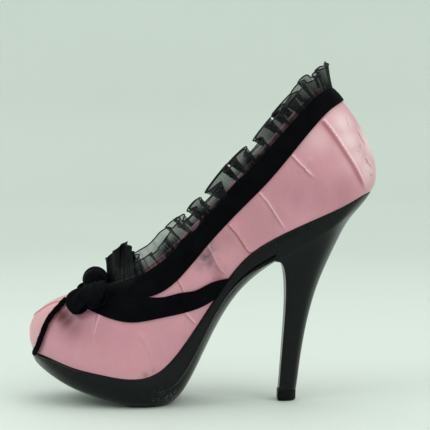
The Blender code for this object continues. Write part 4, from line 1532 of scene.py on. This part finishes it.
class PUMP_OT_frill(bpy.types.Operator):
    """Make the gathered organza frill and its rolled hem"""

    bl_idname = "pump.make_frill"
    bl_label = "Organza frill"

    def execute(self, context):
        sizes = context.scene.pump_sizes
        colours = context.scene.pump_colours
        body = sheet_body(FRILL_COLUMNS, 14, frill_shape, join_columns=True,
                          cloth=(sizes.frill_length, sizes.frill_width), marks=frill_marks)
        frill = finish_piece("organza_frill", body, [organza_finish(colours)], ["frill"])
        body = solid_body(FRILL_COLUMNS, 6, hem_shape(sizes.hem_radius), join_columns=True, join_rows=True,
                          cloth=(sizes.frill_length, 0.002))
        hem = finish_piece("frill_hem", body, [hem_finish(colours)], [])
        return {"FINISHED"}


class PUMP_OT_sole(bpy.types.Operator):
    """Make the platform and waist in one piece"""

    bl_idname = "pump.make_sole"
    bl_label = "Platform sole"

    def execute(self, context):
        cover = glossy_cover(context.scene.pump_colours)
        body = solid_body(220, 110, sole_shape, join_rows=True, cloth=(0.17, 0.16), marks=sole_marks)
        finish_piece("platform_and_waist", body, [cover], ["platform_sole"])
        return {"FINISHED"}


class PUMP_OT_heel(bpy.types.Operator):
    """Make the heel and its rubber tip"""

    bl_idname = "pump.make_heel"
    bl_label = "Heel and tip"

    def execute(self, context):
        colours = context.scene.pump_colours
        body = solid_body(128, 130, heel_shape(HEEL, False), join_columns=True, cloth=(0.09, 0.13),
                          marks=heel_marks)
        finish_piece("covered_heel", body, [glossy_cover(colours)], ["heel"])
        body = solid_body(128, 3, heel_shape(HEEL_TIP, True), join_columns=True, cloth=(0.05, 0.008))
        finish_piece("rubber_heel_tip", body, [tip_finish(colours)], ["heel_tip"])
        return {"FINISHED"}


class PUMP_OT_insole(bpy.types.Operator):
    """Make the covered insole"""

    bl_idname = "pump.make_insole"
    bl_label = "Insole"

    def execute(self, context):
        sizes = context.scene.pump_sizes
        sock = sock_finish(context.scene.pump_colours)
        shape = insole_shape(sizes.insole_thickness, sizes.insole_inset)
        body = solid_body(180, 24, shape, join_rows=True, cloth=(0.24, 0.15))
        finish_piece("covered_insole", body, [sock], ["insole"])
        return {"FINISHED"}


def aim_light(name, place, power, size, tint):
    """Soft square light at a place, turned to the middle of the shoe."""
    lamp = bpy.data.lights.new(name, "AREA")
    lamp.energy = power
    lamp.size = size
    lamp.color = tint
    holder = bpy.data.objects.new(name, lamp)
    holder.location = place
    way = np.array(LIGHT_AIM) - np.array(place)
    flat = math.hypot(way[0], way[1])
    holder.rotation_euler = (math.atan2(flat, -way[2]), 0.0, math.atan2(-way[0], way[1]))
    bpy.context.scene.collection.objects.link(holder)


def paper_floor(colours):
    """Round sheet of paper that sweeps up all round the shoe."""
    body = bmesh.new()
    corners = [body.verts.new((reach, 0.0, height)) for reach, height in PAPER_SWEEP]
    lines = [body.edges.new(pair) for pair in zip(corners, corners[1:])]
    bmesh.ops.spin(body, geom=corners + lines, cent=(0.0, 0.0, 0.0), axis=(0.0, 0.0, 1.0),
                   angle=2.0 * math.pi, steps=96, use_merge=True)
    bmesh.ops.remove_doubles(body, verts=body.verts[:], dist=SLIVER)
    bmesh.ops.recalc_face_normals(body, faces=body.faces[:])
    if sum(face.normal.z for face in body.faces) < 0.0:
        bmesh.ops.reverse_faces(body, faces=body.faces[:])
    for face in body.faces:
        face.smooth = True
    mesh = bpy.data.meshes.new("paper_floor")
    body.to_mesh(mesh)
    body.free()
    mesh.materials.append(floor_finish(colours))
    floor = bpy.data.objects.new("paper_floor", mesh)
    bpy.context.scene.collection.objects.link(floor)
    return floor


def room_light(strength):
    """Even light from all round."""
    room = bpy.data.worlds.new("even room light")
    room.use_nodes = True
    backdrop = room.node_tree.nodes["Background"]
    backdrop.inputs["Color"].default_value = (0.95, 1.0, 0.97, 1.0)
    backdrop.inputs["Strength"].default_value = strength
    return room


def front_camera(stage):
    """Camera in front of the outer side, level with its target apart from its elevation."""
    lens = bpy.data.cameras.new("front camera")
    lens.lens = stage.lens
    lens.sensor_width = 36.0
    lens.sensor_fit = "HORIZONTAL"
    lens.dof.use_dof = False
    camera = bpy.data.objects.new("front camera", lens)
    back = stage.distance * math.cos(stage.elevation)
    rise = stage.distance * math.sin(stage.elevation)
    camera.location = (stage.target[0], stage.target[1] - back, stage.target[2] + rise)
    camera.rotation_euler = (0.5 * math.pi - stage.elevation, 0.0, 0.0)
    bpy.context.scene.collection.objects.link(camera)
    return camera


class PUMP_OT_stage(bpy.types.Operator):
    """Make the paper floor, the lights and the camera"""

    bl_idname = "pump.make_stage"
    bl_label = "Stage"

    def execute(self, context):
        scene = context.scene
        stage = scene.pump_stage
        floor = paper_floor(scene.pump_colours)
        scene.world = room_light(stage.room_light)
        aim_light("key", (0.95, -0.95, 0.95), stage.key_power, 1.1, (1.0, 0.99, 0.97))
        aim_light("fill", (-1.2, -0.5, 0.9), stage.fill_power, 1.0, (0.96, 1.0, 0.98))
        aim_light("top", (0.0, 0.25, 1.7), stage.top_power, 1.2, (0.97, 1.0, 0.98))
        scene.camera = front_camera(stage)
        scene.view_settings.view_transform = "Standard"
        scene.cycles.transparent_max_bounces = 32
        return {"FINISHED"}


class PUMP_PT_pieces(bpy.types.Panel):
    """Buttons for each piece and the values they use"""

    bl_idname = "PUMP_PT_pieces"
    bl_label = "Platform pump"
    bl_space_type = "VIEW_3D"
    bl_region_type = "UI"
    bl_category = "Pump"

    def draw(self, context):
        buttons = self.layout.column(align=True)
        for step in STEPS:
            buttons.operator(step.bl_idname)
        for group in (context.scene.pump_sizes, context.scene.pump_colours, context.scene.pump_stage):
            values = self.layout.box()
            for name in group.__annotations__:
                values.prop(group, name)


STEPS = (PUMP_OT_stage, PUMP_OT_upper, PUMP_OT_collar_band, PUMP_OT_straps, PUMP_OT_piping, PUMP_OT_bow,
         PUMP_OT_frill, PUMP_OT_sole, PUMP_OT_heel, PUMP_OT_insole)
GROUPS = (PumpSizes, PumpColours, PumpStage)


def register():
    """Register the classes and put their values on the scene."""
    for kind in GROUPS + STEPS + (PUMP_PT_pieces,):
        bpy.utils.register_class(kind)
    bpy.types.Scene.pump_sizes = bpy.props.PointerProperty(type=PumpSizes)
    bpy.types.Scene.pump_colours = bpy.props.PointerProperty(type=PumpColours)
    bpy.types.Scene.pump_stage = bpy.props.PointerProperty(type=PumpStage)


def unregister():
    """Take the values and classes away again."""
    del bpy.types.Scene.pump_stage
    del bpy.types.Scene.pump_colours
    del bpy.types.Scene.pump_sizes
    for kind in reversed(GROUPS + STEPS + (PUMP_PT_pieces,)):
        bpy.utils.unregister_class(kind)


def main():
    """Build every piece in order."""
    register()
    bpy.ops.pump.make_stage()
    bpy.ops.pump.make_upper()
    bpy.ops.pump.make_collar_band()
    bpy.ops.pump.make_straps()
    bpy.ops.pump.make_piping()
    bpy.ops.pump.make_bow()
    bpy.ops.pump.make_frill()
    bpy.ops.pump.make_sole()
    bpy.ops.pump.make_heel()
    bpy.ops.pump.make_insole()


if __name__ == "__main__":
    main()
